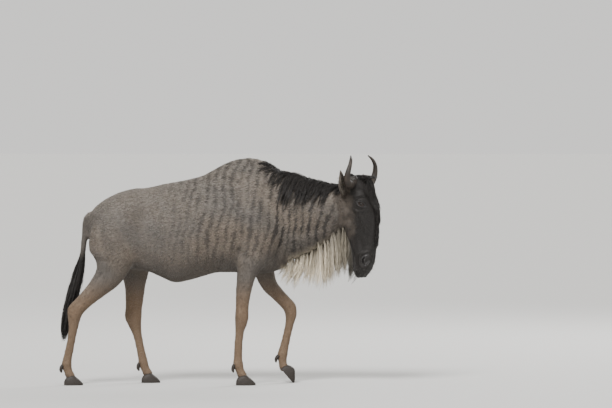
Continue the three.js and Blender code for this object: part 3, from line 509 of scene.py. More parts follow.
ribs = {"first": -70, "last": -330, "count": 8, "width": 17, "height": 1.9}
rightForms = [
    ([(-628, 880), (-622, 780), (-604, 690), (-610, 620)], 34, -6),
    ([(-560, 800), (-552, 720), (-560, 650)], 70, 5),
    ([(-500, 760), (-495, 690), (-520, 620)], 46, 5),
    ([(-606, 610), (-660, 545), (-720, 470)], 20, -6),
    ([(-690, 520), (-745, 455), (-786, 414)], 13, 5),
    ([(-735, 410), (-758, 365)], 26, 4),
    ([(-782, 330), (-790, 240), (-808, 160)], 10, 3),
    ([(-768, 300), (-780, 220), (-794, 150)], 8, -2.4),
    ([(-806, 112), (-808, 100)], 22, 3),
    ([(150, 640), (140, 560), (126, 470)], 16, -4),
    ([(172, 650), (160, 570), (146, 500)], 22, 4),
    ([(106, 400), (104, 350)], 20, 4),
    ([(128, 372), (124, 340)], 12, -2),
    ([(96, 290), (90, 220), (88, 150)], 9, 3),
    ([(106, 280), (100, 220), (98, 150)], 7, -2.4),
    ([(90, 112), (92, 100)], 20, 3),
]
leftForms = [
    ([(-560, 880), (-556, 780), (-530, 690), (-520, 620)], 34, -6),
    ([(-480, 800), (-470, 720), (-466, 650)], 70, 5),
    ([(-478, 570), (-484, 490), (-492, 415)], 18, -6),
    ([(-502, 480), (-510, 400), (-506, 366)], 12, 5),
    ([(-445, 375), (-450, 330)], 24, 4),
    ([(-452, 260), (-440, 200), (-428, 140)], 9, 3),
    ([(240, 610), (262, 535), (300, 482)], 16, -4),
    ([(224, 640), (240, 560), (280, 500)], 20, 4),
    ([(360, 412), (376, 382)], 22, 5),
    ([(354, 300), (342, 240), (330, 180)], 9, 3),
]
# on the head: (angle, height) pairs, width, height
headForms = [
    ([(58, 1000), (30, 1003), (8, 996), (-12, 976)], 17, 6),
    ([(40, 925), (16, 918), (-4, 925)], 13, 3),
    ([(-6, 930), (14, 906), (26, 866), (34, 820), (40, 780)], 15, 5),
    ([(-20, 900), (-8, 860), (4, 800)], 30, -5),
    ([(-35, 930), (-50, 880), (-40, 830)], 44, 5),
    ([(-40, 780), (-30, 730), (-20, 690)], 18, 3),
    ([(10, 780), (16, 730), (18, 700)], 24, -4),
    ([(70, 900), (64, 820), (60, 740)], 12, 2),
    ([(50, 860), (44, 780), (40, 720)], 18, -3),
    ([(30, 1040), (20, 1020)], 24, -4),
    ([(62, 700), (36, 704), (10, 690), (4, 664), (8, 636), (34, 618), (62, 616)], 13, 6),
    ([(80, 690), (80, 640)], 12, 3),
]


def sculptBody(mesh):
    places, normals = coordinates(mesh), normalsOf(mesh)
    for side in (-1, 1):
        for line, width, height in flankForms:
            sideStroke(places, normals, side, line, width, height, 0.3)
    for share in (i / (ribs["count"] - 1) for i in range(ribs["count"])):
        x = ribs["first"] + (ribs["last"] - ribs["first"]) * share
        line = [(x + 20, 960), (x - 6, 860), (x - 34, 760), (x - 44 + 10 * share, 670 + 20 * share)]
        for side in (-1, 1):
            sideStroke(places, normals, side, line, ribs["width"], ribs["height"], 0.4)
    for side, forms in ((-1, rightForms), (1, leftForms)):
        for line, width, height in forms:
            sideStroke(places, normals, side, line, width, height, 0.25)
    putCoordinates(mesh, places)
    relax(mesh, np.ones(len(places)), 2)


# Below 1 in the head, growing outwards.
def localHead(places):
    local = localOf(places)
    away = local - crown
    z = local[:, 2]
    wide, face, jaw, half = columns(head, 0, (2, 1, 3, 4), z)
    middle, deep = (face + jaw) / 2, (face - jaw) / 2
    far = np.hypot(away @ leftward / half, (away @ forward - middle) / deep)
    return np.where((z > 540) & (z < 1130), far, 9)


def columns(rows, key, keys, values):
    table = np.array(rows, float)
    table = table[np.argsort(table[:, key])]
    return [np.interp(values, table[:, key], table[:, k]) for k in keys]


def sculptHead(mesh):
    for side in (-1, 1):
        places, normals = coordinates(mesh), normalsOf(mesh)
        for line, width, height in headForms:
            path = [skinPoint(angle, z, side, -2) for angle, z in line]
            stroke(places, normals, path, width, height, 0.2)
        putCoordinates(mesh, places)
    relax(mesh, (localHead(coordinates(mesh)) < 1.3).astype(float), 3)
    for side in (-1, 1):
        shapeEye(mesh, side)
        shapeNostril(mesh, side)
        shapeMouth(mesh, side)


# Half length and half height of the slit, its turn, and how the lids lie round it.
lids = {
    "half": 19.5, "open": 9.8, "turn": 26, "skin": 2.4, "rim": 2.0, "reach": 33, "depth": 4.5,
    "crease": 1.8, "lowerCrease": 1.2,
}


# The way the eye looks, along its slit and up across the slit.
def eyeFrame(side):
    outward = leftward * side
    look = unit(outward * 0.93 + forward * 0.37)
    rise = unit(upward - look * look[2])
    across = np.cross(rise, look)
    t = math.radians(lids["turn"]) * side
    across, rise = across * math.cos(t) + rise * math.sin(t), rise * math.cos(t) - across * math.sin(t)
    return look, across, rise


# The skin is draped over the eyeball and drawn in between the lids.
def shapeEye(mesh, side):
    places = coordinates(mesh)
    centre = toWorld(eyeCentre(side))
    look, across, rise = eyeFrame(side)
    away = (places - centre) / mm
    near = np.nonzero((np.linalg.norm(away, axis=1) < lids["reach"] * 1.5) & (away @ look > -6))[0]
    v = away[near]
    d = np.linalg.norm(away, axis=1)[near]
    u, w = v @ across, v @ rise
    blend = smoothstep(lids["reach"] * 1.25, eye["radius"] * 1.02, np.hypot(u, w))
    d2 = d + (np.maximum(d, eye["radius"] + lids["skin"]) - d) * blend
    slit = lids["open"] * (1 - 0.12 * u / lids["half"])
    almond = np.abs(u / lids["half"]) ** 1.7 + np.abs(w / slit) ** 1.9
    size = np.sqrt(almond)
    inside = smoothstep(1.0, 0.72, almond)
    rim = np.exp(-((size - 1.13) / 0.13) ** 2)
    crease = np.exp(-((size - 1.62) / 0.12) ** 2) * smoothstep(-0.2, 0.6, w / lids["open"])
    lowerCrease = np.exp(-((size - 2.0) / 0.12) ** 2) * smoothstep(0.2, -0.6, w / lids["open"])
    d2 = d2 + rim * lids["rim"] * (1 - inside) - crease * lids["crease"] - lowerCrease * lids["lowerCrease"]
    d2 = d2 + (eye["radius"] - lids["depth"] - d2) * inside
    places[near] = centre + unit(v) * d2[:, None] * mm
    putCoordinates(mesh, places)
    mask = np.zeros(len(places))
    mask[near] = smoothstep(1.25, 1.6, size) * smoothstep(3.4, 2.6, size)
    relax(mesh, mask, 2)


# The comma of the opening as (angle, height), its half width along the way, and the swollen rim.
nostril = {
    "line": [(60, 652), (50, 640), (36, 637), (25, 648), (22, 664), (30, 680), (42, 688)],
    "width": [2.0, 3.6, 5.6, 7.0, 6.6, 4.4, 2.0],
    "depth": 15, "rim": 3.2, "end": (20, 26, 668),
}


def nostrilLine(side):
    return [skinPoint(angle, z, side, 2) for angle, z in nostril["line"]]


def shapeNostril(mesh, side):
    places, normals = coordinates(mesh), normalsOf(mesh)
    line = smoothLine([toWorld(p) for p in nostrilLine(side)])
    near = np.nonzero(np.linalg.norm(places - line.mean(0), axis=1) < 0.055)[0]
    distance, along = distanceTo(places[near], line)
    width = np.interp(along, np.linspace(0, 1, len(nostril["width"])), nostril["width"]) * mm
    hole = smoothstep(1.15, 0.45, distance / width)
    rim = np.exp(-((distance - width * 1.25) / (nostril["rim"] * mm)) ** 2)
    out, ahead, z = nostril["end"]
    inward = unit(toWorld(headPoint(out * side, ahead, z)) - line.mean(0))
    swell = normals[near] * (rim * nostril["rim"] * mm)[:, None]
    places[near] += swell + inward * (hole * nostril["depth"] * mm)[:, None]
    putCoordinates(mesh, places)
    mask = np.zeros(len(places))
    mask[near] = smoothstep(3.2, 1.2, distance / (width + 2 * mm))
    relax(mesh, mask, 4)


# The line of the mouth from the middle to its corner: out, ahead, height
mouth = [
    (0, 14, 565), (15, 14, 566), (28, 13, 570), (46, 10, 584), (56, 4, 612), (57, -2, 645), (52, -8, 680),
]
# ahead of the line, above it, width, height, fade and edge: the two lips, then the cut between them
lipStrokes = [
    (9, 2, 12, 4.2, 0.3, 1), (-9, 2, 11, 3.8, 0.3, 1), (0, 0, 6, -4, 0.05, 0.8), (0, 0, 6, -8, 0.3, 0.8),
]


def mouthLine(side, ahead=0, up=0):
    return [headPoint(o * side, a + ahead, z + up) for o, a, z in mouth]


def shapeMouth(mesh, side):
    places, normals = coordinates(mesh), normalsOf(mesh)
    for ahead, up, width, height, fade, edge in lipStrokes:
        line = mouthLine(side, ahead, up)[:-1 if ahead else None]
        stroke(places, normals, line, width, height, fade, edge, side)
    putCoordinates(mesh, places)
    far, along = distanceTo(places, smoothLine([toWorld(p) for p in mouthLine(side)]))
    relax(mesh, smoothstep(14 * mm, 8 * mm, far), 2)


def drawIn(mesh):
    places, normals = coordinates(mesh), normalsOf(mesh)
    height = localOf(places)[:, 2]
    fine = np.maximum(smoothstep(1.35, 1.15, localHead(places)), smoothstep(720, 560, height))
    inset = skinShape["bodyInset"] + (skinShape["fineInset"] - skinShape["bodyInset"]) * fine
    inset -= skinShape["legGain"] * smoothstep(110, 200, height) * smoothstep(600, 480, height)
    putCoordinates(mesh, places - normals * (inset * mm)[:, None])


# Where the skin gets finer faces, each with its reach: down the head, then twice at the eyes and nostrils.
finer = {
    "head": (
        (1060, 105), (1000, 118), (940, 128), (880, 122), (820, 112), (760, 104), (700, 96), (640, 92),
        (590, 84),
    ),
    "eye": (38, 34), "nostril": (34, 30), "nostrilAt": (32, 658), "lips": 15,
}


def refineHead(mesh):
    refine(mesh, [headPoint(0, 0, z) for z, reach in finer["head"]], [reach for z, reach in finer["head"]])
    holes = [eyeCentre(side) for side in (-1, 1)] + [skinPoint(*finer["nostrilAt"], side) for side in (-1, 1)]
    lips = mouthLine(-1) + mouthLine(1)
    firstReach, secondReach = zip(finer["eye"], finer["eye"], finer["nostril"], finer["nostril"])
    refine(mesh, holes + lips, [*firstReach] + [finer["lips"]] * len(lips))
    refine(mesh, holes, secondReach)


skin = buildSkin()
print("skin remeshed:", len(skin.data.vertices), "points")
sculptBody(skin.data)
refineHead(skin.data)
drawIn(skin.data)
sculptHead(skin.data)
print("skin sculpted:", len(skin.data.vertices), "points", len(trianglesOf(skin.data)), "triangles")


# Horns, hooves and eyes are pieces of their own.
# horn: out, ahead and height of its middle, then its radius
horn = [
    (16, -8, 1082, 21), (48, -8, 1078, 27), (84, -6, 1066, 25), (120, -3, 1062, 21), (146, 2, 1078, 18),
    (157, 8, 1106, 15.5), (154, 14, 1136, 13), (143, 17, 1163, 10.5), (124, 12, 1190, 8), (99, -1, 1211, 3),
]
hornShape = {"ridges": 17, "ridgeHeight": 1.7, "rough": 0.9, "cracks": 0.45}


# A seeded sum of waves, about -1 to 1, that changes over the given distance.
def waves(p, scale, seed):
    rng = np.random.default_rng(seed)
    total = np.zeros(len(p))
    for k in range(7):
        way = unit(rng.normal(size=3)) * (2 * math.pi / scale) * rng.uniform(0.6, 1.8)
        total += np.sin(p @ way + rng.uniform(0, 6.28)) / 7
    return total * 1.9


# A smooth piece that stands for one node of the solids.
def finish(name, mesh, node, material):
    piece = newObject(name, mesh)
    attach(piece, "root")
    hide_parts(node)
    dress(piece, material)


def raised(mesh, height):
    putCoordinates(mesh, coordinates(mesh) + normalsOf(mesh) * (height * mm)[:, None])


def makeHorn(side):
    points = np.array([headPoint(out * side, ahead, z) for out, ahead, z, radius in horn])
    rings = ringsPath(points, [(r, r) for out, ahead, z, r in horn], forward)
    mesh = toMesh(loft(rings, 56, 190), "hornSmooth")
    places = coordinates(mesh)
    distance, along = distanceTo(places, toWorld(points))
    ridge = np.sin(along * hornShape["ridges"] * 2 * math.pi + 1.2 * waves(places, 0.05, 3))
    ridge = np.sign(ridge) * np.abs(ridge) ** 0.7
    base = smoothstep(0.62, 0.12, along)
    height = ridge * hornShape["ridgeHeight"] * base * (0.55 + 0.45 * waves(places, 0.03, 5))
    height += waves(places, 0.009, 8) * hornShape["rough"] * smoothstep(0.5, 0.05, along)
    lengthways = places * np.array([1, 1, 0.4])
    height += waves(lengthways, 0.004, 9) * hornShape["cracks"] * smoothstep(0.9, 0.3, along)
    raised(mesh, height)
    finish("horn_smooth_" + sideWord[side], mesh, "horn_" + sideWord[side], hornSheath)


# claw: place along it, height of its top, half width, lean to its twin
claw = [
    (-44, 20, 9, 0), (-36, 36, 15, 0), (-18, 47, 18, 0), (4, 50, 18, 0), (24, 36, 16, 1), (42, 21, 12, 4),
    (54, 8, 5, 8),
]
clawShape = {"spread": 19.5, "edge": 3, "ringHeight": 0.45, "ringStep": 5.5, "grain": 0.3, "floor": 0.3}
dewclawShape = {"behind": 20, "apart": 13, "halves": [11, 12, 10, 4], "flatness": 0.8}
dewclawPath = ((-4, -2), (6, 8), (20, 15), (34, 15))  # down the leg, then behind it
legWords = {
    "foreRight": "fore_right", "foreLeft": "fore_left", "hindRight": "hind_right",
    "hindLeft": "hind_left",
}


def clawWord(legName, twin):
    return legWords[legName] + ("_outer" if twin * legs[legName][0] > 0 else "_inner")


def makeClaw(legName, twin):
    x, y, lift, tip, size = feet[legName]
    edge = clawShape["edge"]
    rings = []
    for along, top, half, lean in claw:
        middle = twin * (clawShape["spread"] - lean)
        rings.append(np.array([along, middle, edge, 0, half, 0, 0, 0, top - edge, 0, 0, -edge, 0.8, 0.25]))
    c, s = math.cos(math.radians(tip)), math.sin(math.radians(tip))

    def settle(p):
        p = p * size
        turned = np.stack([p[:, 0] * c + p[:, 2] * s, p[:, 1], p[:, 2] * c - p[:, 0] * s], 1)
        placed = turned + np.array([x, y, lift])
        placed[:, 2] = np.maximum(placed[:, 2], clawShape["floor"])
        return placed

    mesh = toMesh(loft(rings, 48, 60, settle), "clawSmooth")
    places, normals = coordinates(mesh), normalsOf(mesh)
    up = localOf(places)[:, 2]
    wall = smoothstep(0.2, 0.7, 1 - np.abs(normals[:, 2]))
    ring = np.sin(up * 2 * math.pi / clawShape["ringStep"] + waves(places, 0.02, 4) * 1.5)
    height = ring * clawShape["ringHeight"] + waves(places, 0.006, 6) * clawShape["grain"]
    raised(mesh, height * wall * (up > 1.5))
    word = clawWord(legName, twin)
    finish("claw_" + word, mesh, "hoof_" + word, hoofHorn)


def makeDewclaw(legName, twin):
    side, rows = legs[legName]
    fx, fz, fy = rows[-4][:3]
    bx, bz = rows[-3][:2]
    slope = unit([bx - fx, 0, bz - fz])
    rearward = np.array([slope[2], 0, -slope[0]])
    root = np.array([fx - dewclawShape["behind"], side * fy + twin * dewclawShape["apart"], fz - 4])
    points = [root + slope * down + rearward * behind for down, behind in dewclawPath]
    halves = [(h, h * dewclawShape["flatness"]) for h in dewclawShape["halves"]]
    mesh = toMesh(loft(ringsPath(points, halves, bodyLeft), 28, 34), "dewclawSmooth")
    word = clawWord(legName, twin)
    finish("dewclaw_smooth_" + word, mesh, "dewclaw_" + word, hoofHorn)


eyeShape = {"radius": 20.8, "cornea": 1.2}


def makeEye(side):
    bm = bmesh.new()
    bmesh.ops.create_uvsphere(bm, u_segments=64, v_segments=40, radius=eyeShape["radius"] * mm)
    mesh = toMesh(bm, "eyeball")
    look, across, rise = eyeFrame(side)
    local = coordinates(mesh)
    ways = unit(local)
    front = ways @ look
    bulge = smoothstep(0.82, 1.0, front) * eyeShape["cornea"] * mm
    putCoordinates(mesh, local + ways * bulge[:, None] + toWorld(eyeCentre(side)))
    gaze = np.stack([ways @ across, ways @ rise, front], 1)
    putAttribute(mesh, "gaze", "FLOAT_VECTOR", "vector", gaze)
    finish("eyeball_" + sideWord[side], mesh, "eye_" + sideWord[side], eyeGlass)


# ear: share of its length, half width, bulge of its back, depth of its cup
ear = [
    (0, 13, 13, -3), (0.1, 19, 17, 2), (0.26, 28, 20, 14), (0.46, 33, 19, 14.5), (0.66, 28, 15, 11),
    (0.84, 17, 9, 5.5),
    (0.95, 8, 5, 2), (1, 2.5, 2.5, -0.5),
]
# root, and the ways that they point, each as out, ahead and up
ears = {"length": 182, "root": (76, -50, 1000), -1: (113, 34, 132), 1: (138, -36, 108), "shrink": 1.6}


def earFrame(side):
    out, ahead, z = ears["root"]
    root = headPoint(out * side, ahead, z)
    aim = ears[side]
    along = unit(leftward * aim[0] * side + forward * aim[1] + upward * aim[2])
    openWay = unit(forward - along * np.dot(forward, along))
    return root, along, openWay, np.cross(openWay, along)


def earLoft(side):
    root, along, openWay, wide = earFrame(side)
    less = ears["shrink"]
    rings = []
    for share, half, back, cup in ear:
        centre = root + along * share * ears["length"]
        front, rear = -openWay * (cup + less * 0.4), -openWay * (back - less)
        rings.append(np.concatenate([centre, wide * (half - less), front, rear, [1.25, 0.8]]))
    return loft(rings, 48, 60)


# A mesh from lists of corners: all its triangles, then all its quads.
def meshOf(name, verts, faces):
    loops = np.concatenate([corners.reshape(-1) for corners in faces]).astype(np.int32)
    totals = np.concatenate([np.full(len(corners), corners.shape[1]) for corners in faces]).astype(np.int32)
    mesh = bpy.data.meshes.new(name)
    mesh.vertices.add(len(verts))
    mesh.vertices.foreach_set("co", verts.ravel())
    mesh.loops.add(len(loops))
    mesh.loops.foreach_set("vertex_index", loops)
    mesh.polygons.add(len(totals))
    mesh.polygons.foreach_set("loop_start", np.concatenate([[0], np.cumsum(totals)[:-1]]).astype(np.int32))
    mesh.polygons.foreach_set("loop_total", totals)
    smoothAll(mesh)
    mesh.update(calc_edges=True)
    return mesh, loops


bladeCorners = ((1, -0.35), (-1, -0.35), (0, 0.65))
bakePatch = 0.003  # the size of a tuft's patch on the bake's map


# A strand is a thin three-sided blade along its path, closed at both ends.
def makeStrands(name, paths, ups, widths, colours, uvs, profile, thick=0.4, fade=(0.82, 1.08)):
    count, points, _ = paths.shape
    rings = points - 1
    way = np.gradient(paths, axis=1)
    side = unit(np.cross(way, ups[:, None, :]))
    rise = unit(np.cross(side, way))
    size = widths[:, None] * np.asarray(profile)[None, :rings] * mm / 2
    corners = np.zeros((count, rings, 3, 3))
    for k, (a, b) in enumerate(bladeCorners):
        offset = side[:, :rings] * a + rise[:, :rings] * (b * thick * 2)
        corners[:, :, k] = paths[:, :rings] + offset * size[:, :, None]
    verts = np.concatenate([corners.reshape(count, rings * 3, 3), paths[:, rings:]], axis=1)
    each = rings * 3 + 1
    last = each - 4
    tris = np.array([(0, 2, 1)] + [(last + k, last + (k + 1) % 3, last + 3) for k in range(3)])
    starts = (np.arange(count) * each)[:, None, None]
    faces = [(starts + tris).reshape(-1, 3)]
    if rings > 1:
        first = [r * 3 for r in range(rings - 1)]
        quads = np.array([
            (r + k, r + (k + 1) % 3, r + 3 + (k + 1) % 3, r + 3 + k) for r in first for k in range(3)
        ])
        faces.append((starts + quads).reshape(-1, 4))
    mesh, loops = meshOf(name, verts.reshape(-1, 3), faces)
    step = np.arange(each)
    place = uvs[:, None, :] + np.stack([(step % 3) / 2, (step // 3) / rings], 1) * bakePatch
    layer = mesh.uv_layers.new(name="OFBake")
    layer.data.foreach_set("uv", place.reshape(-1, 2)[loops].astype(np.float32).ravel())
    shade = np.ones((count, each, 4))
    tone = np.interp((step // 3) / rings, np.linspace(0, 1, len(fade)), fade)
    shade[:, :, :3] = colours[:, None, :] * tone[None, :, None]
    putAttribute(mesh, "coatColour", "FLOAT_COLOR", "color", shade)
    piece = newObject(name, mesh)
    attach(piece, "root")
    return piece


def headFrame(local):
    away = local - crown
    return away @ leftward, away @ forward, local[:, 2]


def turnShare(first, second):
    return np.arctan2(first, second) / (2 * math.pi) + 0.5


# Where a tuft's patch lies on the map of the bake.
def patchPlace(along, around):
    return np.stack([np.clip(around, 0, 1), np.clip(along, 0, 1)], 1) * 0.99 + 0.002


# How deep a point lies in a leg or the tail: 1 is on its surface.
def depthIn(points, path, radii):
    distance, along = distanceTo(points, np.asarray(path, float))
    reach = np.interp(along, np.linspace(0, 1, len(radii)), radii)
    return distance / reach, along


regionNames = [
    "trunk", "neck", "head", "foreRight", "foreLeft", "hindRight", "hindLeft", "tail", "earRight",
    "earLeft",
]
earRegions = ((8, -1), (9, 1))


def isLeg(region):
    return (region >= 3) & (region <= 6)


# Each place gets the number of its part of the body, and its place along and around that part.
def sortPlaces(local):
    x, y, z = local.T
    region = np.zeros(len(local), int)
    along = np.clip((x + 720) / 1130, 0, 1)
    around = turnShare(z - 800, y)

    def claim(index, mine, share, turn):
        region[mine], along[mine], around[mine] = index, share[mine], turn[mine]

    mid, low, middle = columns(neck, 0, [4, 5, 1], x)
    claim(1, x > 250 + (1180 - z) * 80 / 590, np.clip((x - 220) / 470, 0, 1), turnShare(z - mid, y - middle))
    out, ahead, z = headFrame(local)
    wide, jaw, half = columns(head, 0, [2, 3, 4], z)
    isHead = (z < 1112) & (z > 555) & (ahead > jaw - 10) & (np.abs(out) < half + 14) & (x > 600)
    claim(2, isHead, np.clip((1110 - z) / 550, 0, 1), turnShare(ahead - wide, out))
    best = np.full(len(local), 1.25)
    for k, (side, rows) in enumerate(legs.values()):
        path = [(px, py * side, pz) for px, pz, py, d, w in rows]
        depth, share = depthIn(local, path, [max(d, w) * 1.02 for px, pz, py, d, w in rows])
        mine = (depth < best) & (z < 690) & (y * side > 40)
        best = np.where(mine, depth, best)
        middle = np.interp(share, np.linspace(0, 1, len(rows)), [row[0] for row in rows])
        claim(3 + k, mine, share, turnShare(x - middle, y - side * 105))
    depth, share = depthIn(
        local, [(px, 0, pz) for px, pz, d, w in tail], [max(d, w) + 1 for px, pz, d, w in tail]
    )
    claim(7, (depth < 1.1) & (x < -695), share, turnShare(x + 740, y))
    for index, side in earRegions:
        root, way, openWay, wideWay = earFrame(side)
        away = local - root
        share = away @ way / ears["length"]
        isEar = (share > 0.1) & (share < 1.02) & (np.abs(away @ wideWay) < 36) & (np.abs(away @ openWay) < 30)
        claim(index, isEar, share, turnShare(away @ openWay + 8, away @ wideWay))
    return region, along, around


# The way the hair lies on each part, and how far it swirls from that.
lies = {
    "trunk": (-1, 0, -0.35), "neck": (-0.75, 0, -0.65), "head": (0, 0, -1), "leg": (-0.15, 0, -1),
    "tail": (-0.1, 0, -1),
    "swirl": 0.16,
}


def lieField(local, normals, region):
    way = np.tile(np.array(lies["trunk"], float), (len(local), 1))
    toLeg = smoothstep(760, 600, local[:, 2])[:, None] * smoothstep(0.2, 0.7, np.abs(normals[:, 1]))[:, None]
    way = way * (1 - toLeg) + np.array(lies["leg"]) * toLeg
    way[region == 1] = lies["neck"]
    onHead = region == 2
    cheek = smoothstep(20, -60, headFrame(local)[1])[:, None]
    way[onHead] = (np.array(lies["head"]) * (1 - cheek) + (-forward * 0.6 - upward * 0.8) * cheek)[onHead]
    way[isLeg(region)] = lies["leg"]
    way[region == 7] = lies["tail"]
    for index, side in earRegions:
        way[region == index] = earFrame(side)[1]
    swirl = np.stack([waves(local, 260, 11), waves(local, 300, 12), waves(local, 240, 13)], 1)
    way = unit(way) + swirl * lies["swirl"]
    way -= normals * np.sum(way * normals, 1, keepdims=True)
    return unit(way)


# The colours of the coat, the same for the skin and all that grows on it. The tones mixed in on surfaces that
# face up and down are painted light and painted shade.
tones = {
    "slate": (0.108, 0.095, 0.083), "brown": (0.145, 0.117, 0.092), "pale": (0.2, 0.176, 0.15),
    "undersideShade": (0.09, 0.076, 0.064), "stripe": (0.024, 0.02, 0.0175), "black": (0.017, 0.0145, 0.013),
    "cheek": (0.075, 0.06, 0.048), "shin": (0.185, 0.12, 0.072), "bare": (0.02, 0.0185, 0.018),
    "cream": (0.62, 0.54, 0.41), "earInside": (0.2, 0.17, 0.14),
}
stripes = {
    "step": 41, "from": -260, "to": 600, "low": 640, "wander": 16, "ripple": 6, "lean": 0.16,
    "strength": 0.93,
}
# where the black of the face begins, ahead of the crown, by height
faceEdge = [
    (560, -70), (640, -70), (720, -52), (800, -14), (880, 0), (940, -6), (1000, -16), (1040, -50),
    (1080, -160),
]


def mixed(base, tone, share):
    return base * (1 - share[:, None]) + np.array(tones[tone]) * share[:, None]


# Dark upright stripes on the neck, the shoulder and the front of the barrel.
def stripeShare(local):
    x, y, z = local.T
    bend = waves(local * np.array([0.6, 0.2, 1]), 210, 31) * stripes["wander"]
    bend = bend + waves(local, 60, 32) * stripes["ripple"]
    phase = (x + bend - stripes["lean"] * (z - 900)) / stripes["step"]
    line = np.sin(phase * 2 * math.pi) + 0.5 * waves(local * np.array([1, 0.3, 0.35]), 46, 33)
    first, last, low = stripes["from"], stripes["to"], stripes["low"]
    fade = smoothstep(first - 120, first + 160, x) * smoothstep(last + 80, last - 60, x)
    fade *= smoothstep(low - 60, low + 130, z)
    fade *= 0.72 + 0.28 * smoothstep(250, 330, x)
    return smoothstep(0.2, 0.75, line) * fade * stripes["strength"]


def coatColour(local, normals, region):
    z, up = local[:, 2], normals[:, 2]
    soft = waves(local, 380, 21) * 0.6 + waves(local, 150, 22) * 0.3
    out, ahead, _ = headFrame(local)
    onHead = (region == 2).astype(float)
    heights, edges = zip(*faceEdge)
    past = ahead - np.interp(z, heights, edges) + waves(local, 60, 41) * 12 + waves(local, 14, 42) * 5
    face = smoothstep(-34, 30, past)
    leg, onNeck = isLeg(region), region == 1
    colour = np.tile(np.array(tones["slate"], float), (len(z), 1))
    for tone, share in (
        ("brown", smoothstep(-0.6, 0.8, soft)),
        # Painted light: surfaces that face up are lightened towards the pale tone, as a painted sheen.
        ("pale", smoothstep(0.0, 0.9, up) * 0.55),
        # Painted shade: surfaces that face down are darkened towards this tone.
        ("undersideShade", smoothstep(-0.1, -0.8, up) * 0.8),
        ("stripe", stripeShare(local)),
        ("shin", smoothstep(600, 400, z) * leg * 0.85),
        ("black", smoothstep(70, 30, z) * leg * 0.5),
        ("cheek", onHead),
        ("black", onHead * face),
        ("black", onHead * smoothstep(740, 680, z)),
        ("black", onNeck * smoothstep(0.55, 0.9, up) * 0.8),
        ("cream", onNeck * smoothstep(-0.55, -0.9, up) * 0.5),
    ):
        colour = mixed(colour, tone, share)
    for index, side in earRegions:
        onEar = region == index
        inside = onEar * smoothstep(0.1, 0.6, normals @ earFrame(side)[2])
        colour = mixed(mixed(colour, "cheek", onEar * 0.8), "earInside", inside)
    return mixed(colour, "black", (region == 7) * smoothstep(760, 640, z))


# How bare the skin is: lids, nostrils and lips have no hair.
def bareness(local):
    bare = np.zeros(len(local))
    for side in (-1, 1):
        look, across, rise = eyeFrame(side)
        away = local - eyeCentre(side)
        almond = np.abs(away @ across / lids["half"]) ** 1.7 + np.abs(away @ rise / lids["open"]) ** 1.9
        byEye = (np.linalg.norm(away, axis=1) < 40) * (away @ look > 0)
        bare = np.maximum(bare, smoothstep(2.6, 1.7, almond) * byEye)
        for line, far, near in ((nostrilLine(side), 14, 8), (mouthLine(side), 10, 5)):
            bare = np.maximum(bare, smoothstep(far, near, distanceTo(local, smoothLine(line))[0]))
    return bare


# The coat: how thickly it grows, how far its tips stand off, and its length and width by height.
coat = {
    "cover": 1.4, "headCover": 1.75, "stand": 0.13, "root": -0.7, "stray": 0.14,
    "heights": [0, 300, 450, 600, 720, 860],
    "lengths": [7, 8.5, 10, 13.5, 17, 19], "widths": [1.25, 1.4, 1.65, 2.1, 2.4, 2.5],
    "head": (8.5, 1.3), "tail": (13, 1.8), "ear": (7.5, 1.15),
    "mostTwoRings": 19000, "mostOneRing": 48000,  # tufts in a piece
}


def hairSize(local, index):
    x, y, z = local.T
    length, width = (np.interp(z, coat["heights"], coat[key]) for key in ("lengths", "widths"))
    if index == 1:
        nearer = smoothstep(560, 740, x)
        length, width = length * (1 - 0.35 * nearer), width * (1 - 0.3 * nearer)
    if index == 2:
        cheek = smoothstep(0, -95, headFrame(local)[1]) * smoothstep(820, 930, z)
        muzzle = smoothstep(740, 620, z)
        length = coat["head"][0] * (1 + 0.7 * cheek - 0.4 * muzzle)
        width = coat["head"][1] * (1 + 0.45 * cheek - 0.15 * muzzle)
    if index >= 7:
        length, width = (np.full(len(z), float(size)) for size in coat["tail" if index == 7 else "ear"])
    return length, width


# Random places on one part of the skin, as many as its coat needs there.
def sampleSkin(mesh, rng, index, region, bare):
    tris = trianglesOf(mesh)
    places, normals = coordinates(mesh), normalsOf(mesh)
    a, b, c = places[tris[:, 0]], places[tris[:, 1]], places[tris[:, 2]]
    area = np.linalg.norm(np.cross(b - a, c - a), axis=1) / 2 / mm**2
    area[region[tris[:, 0]] != index] = 0
    length, width = hairSize(localOf(a), index)
    wanted = area * coat["headCover" if index == 2 else "cover"] / (length * width)
    count = int(wanted.sum())
    wanted *= (1 - bare[tris].mean(1)) ** 2
    pick = rng.choice(len(tris), count, p=wanted / wanted.sum())
    r1, r2 = np.sqrt(rng.random(count)), rng.random(count)
    weights = np.stack([1 - r1, r1 * (1 - r2), r1 * r2], 1)
    corner = tris[pick]
    roots = np.einsum("nk,nkd->nd", weights, places[corner])
    ways = unit(np.einsum("nk,nkd->nd", weights, normals[corner]))
    return roots, ways


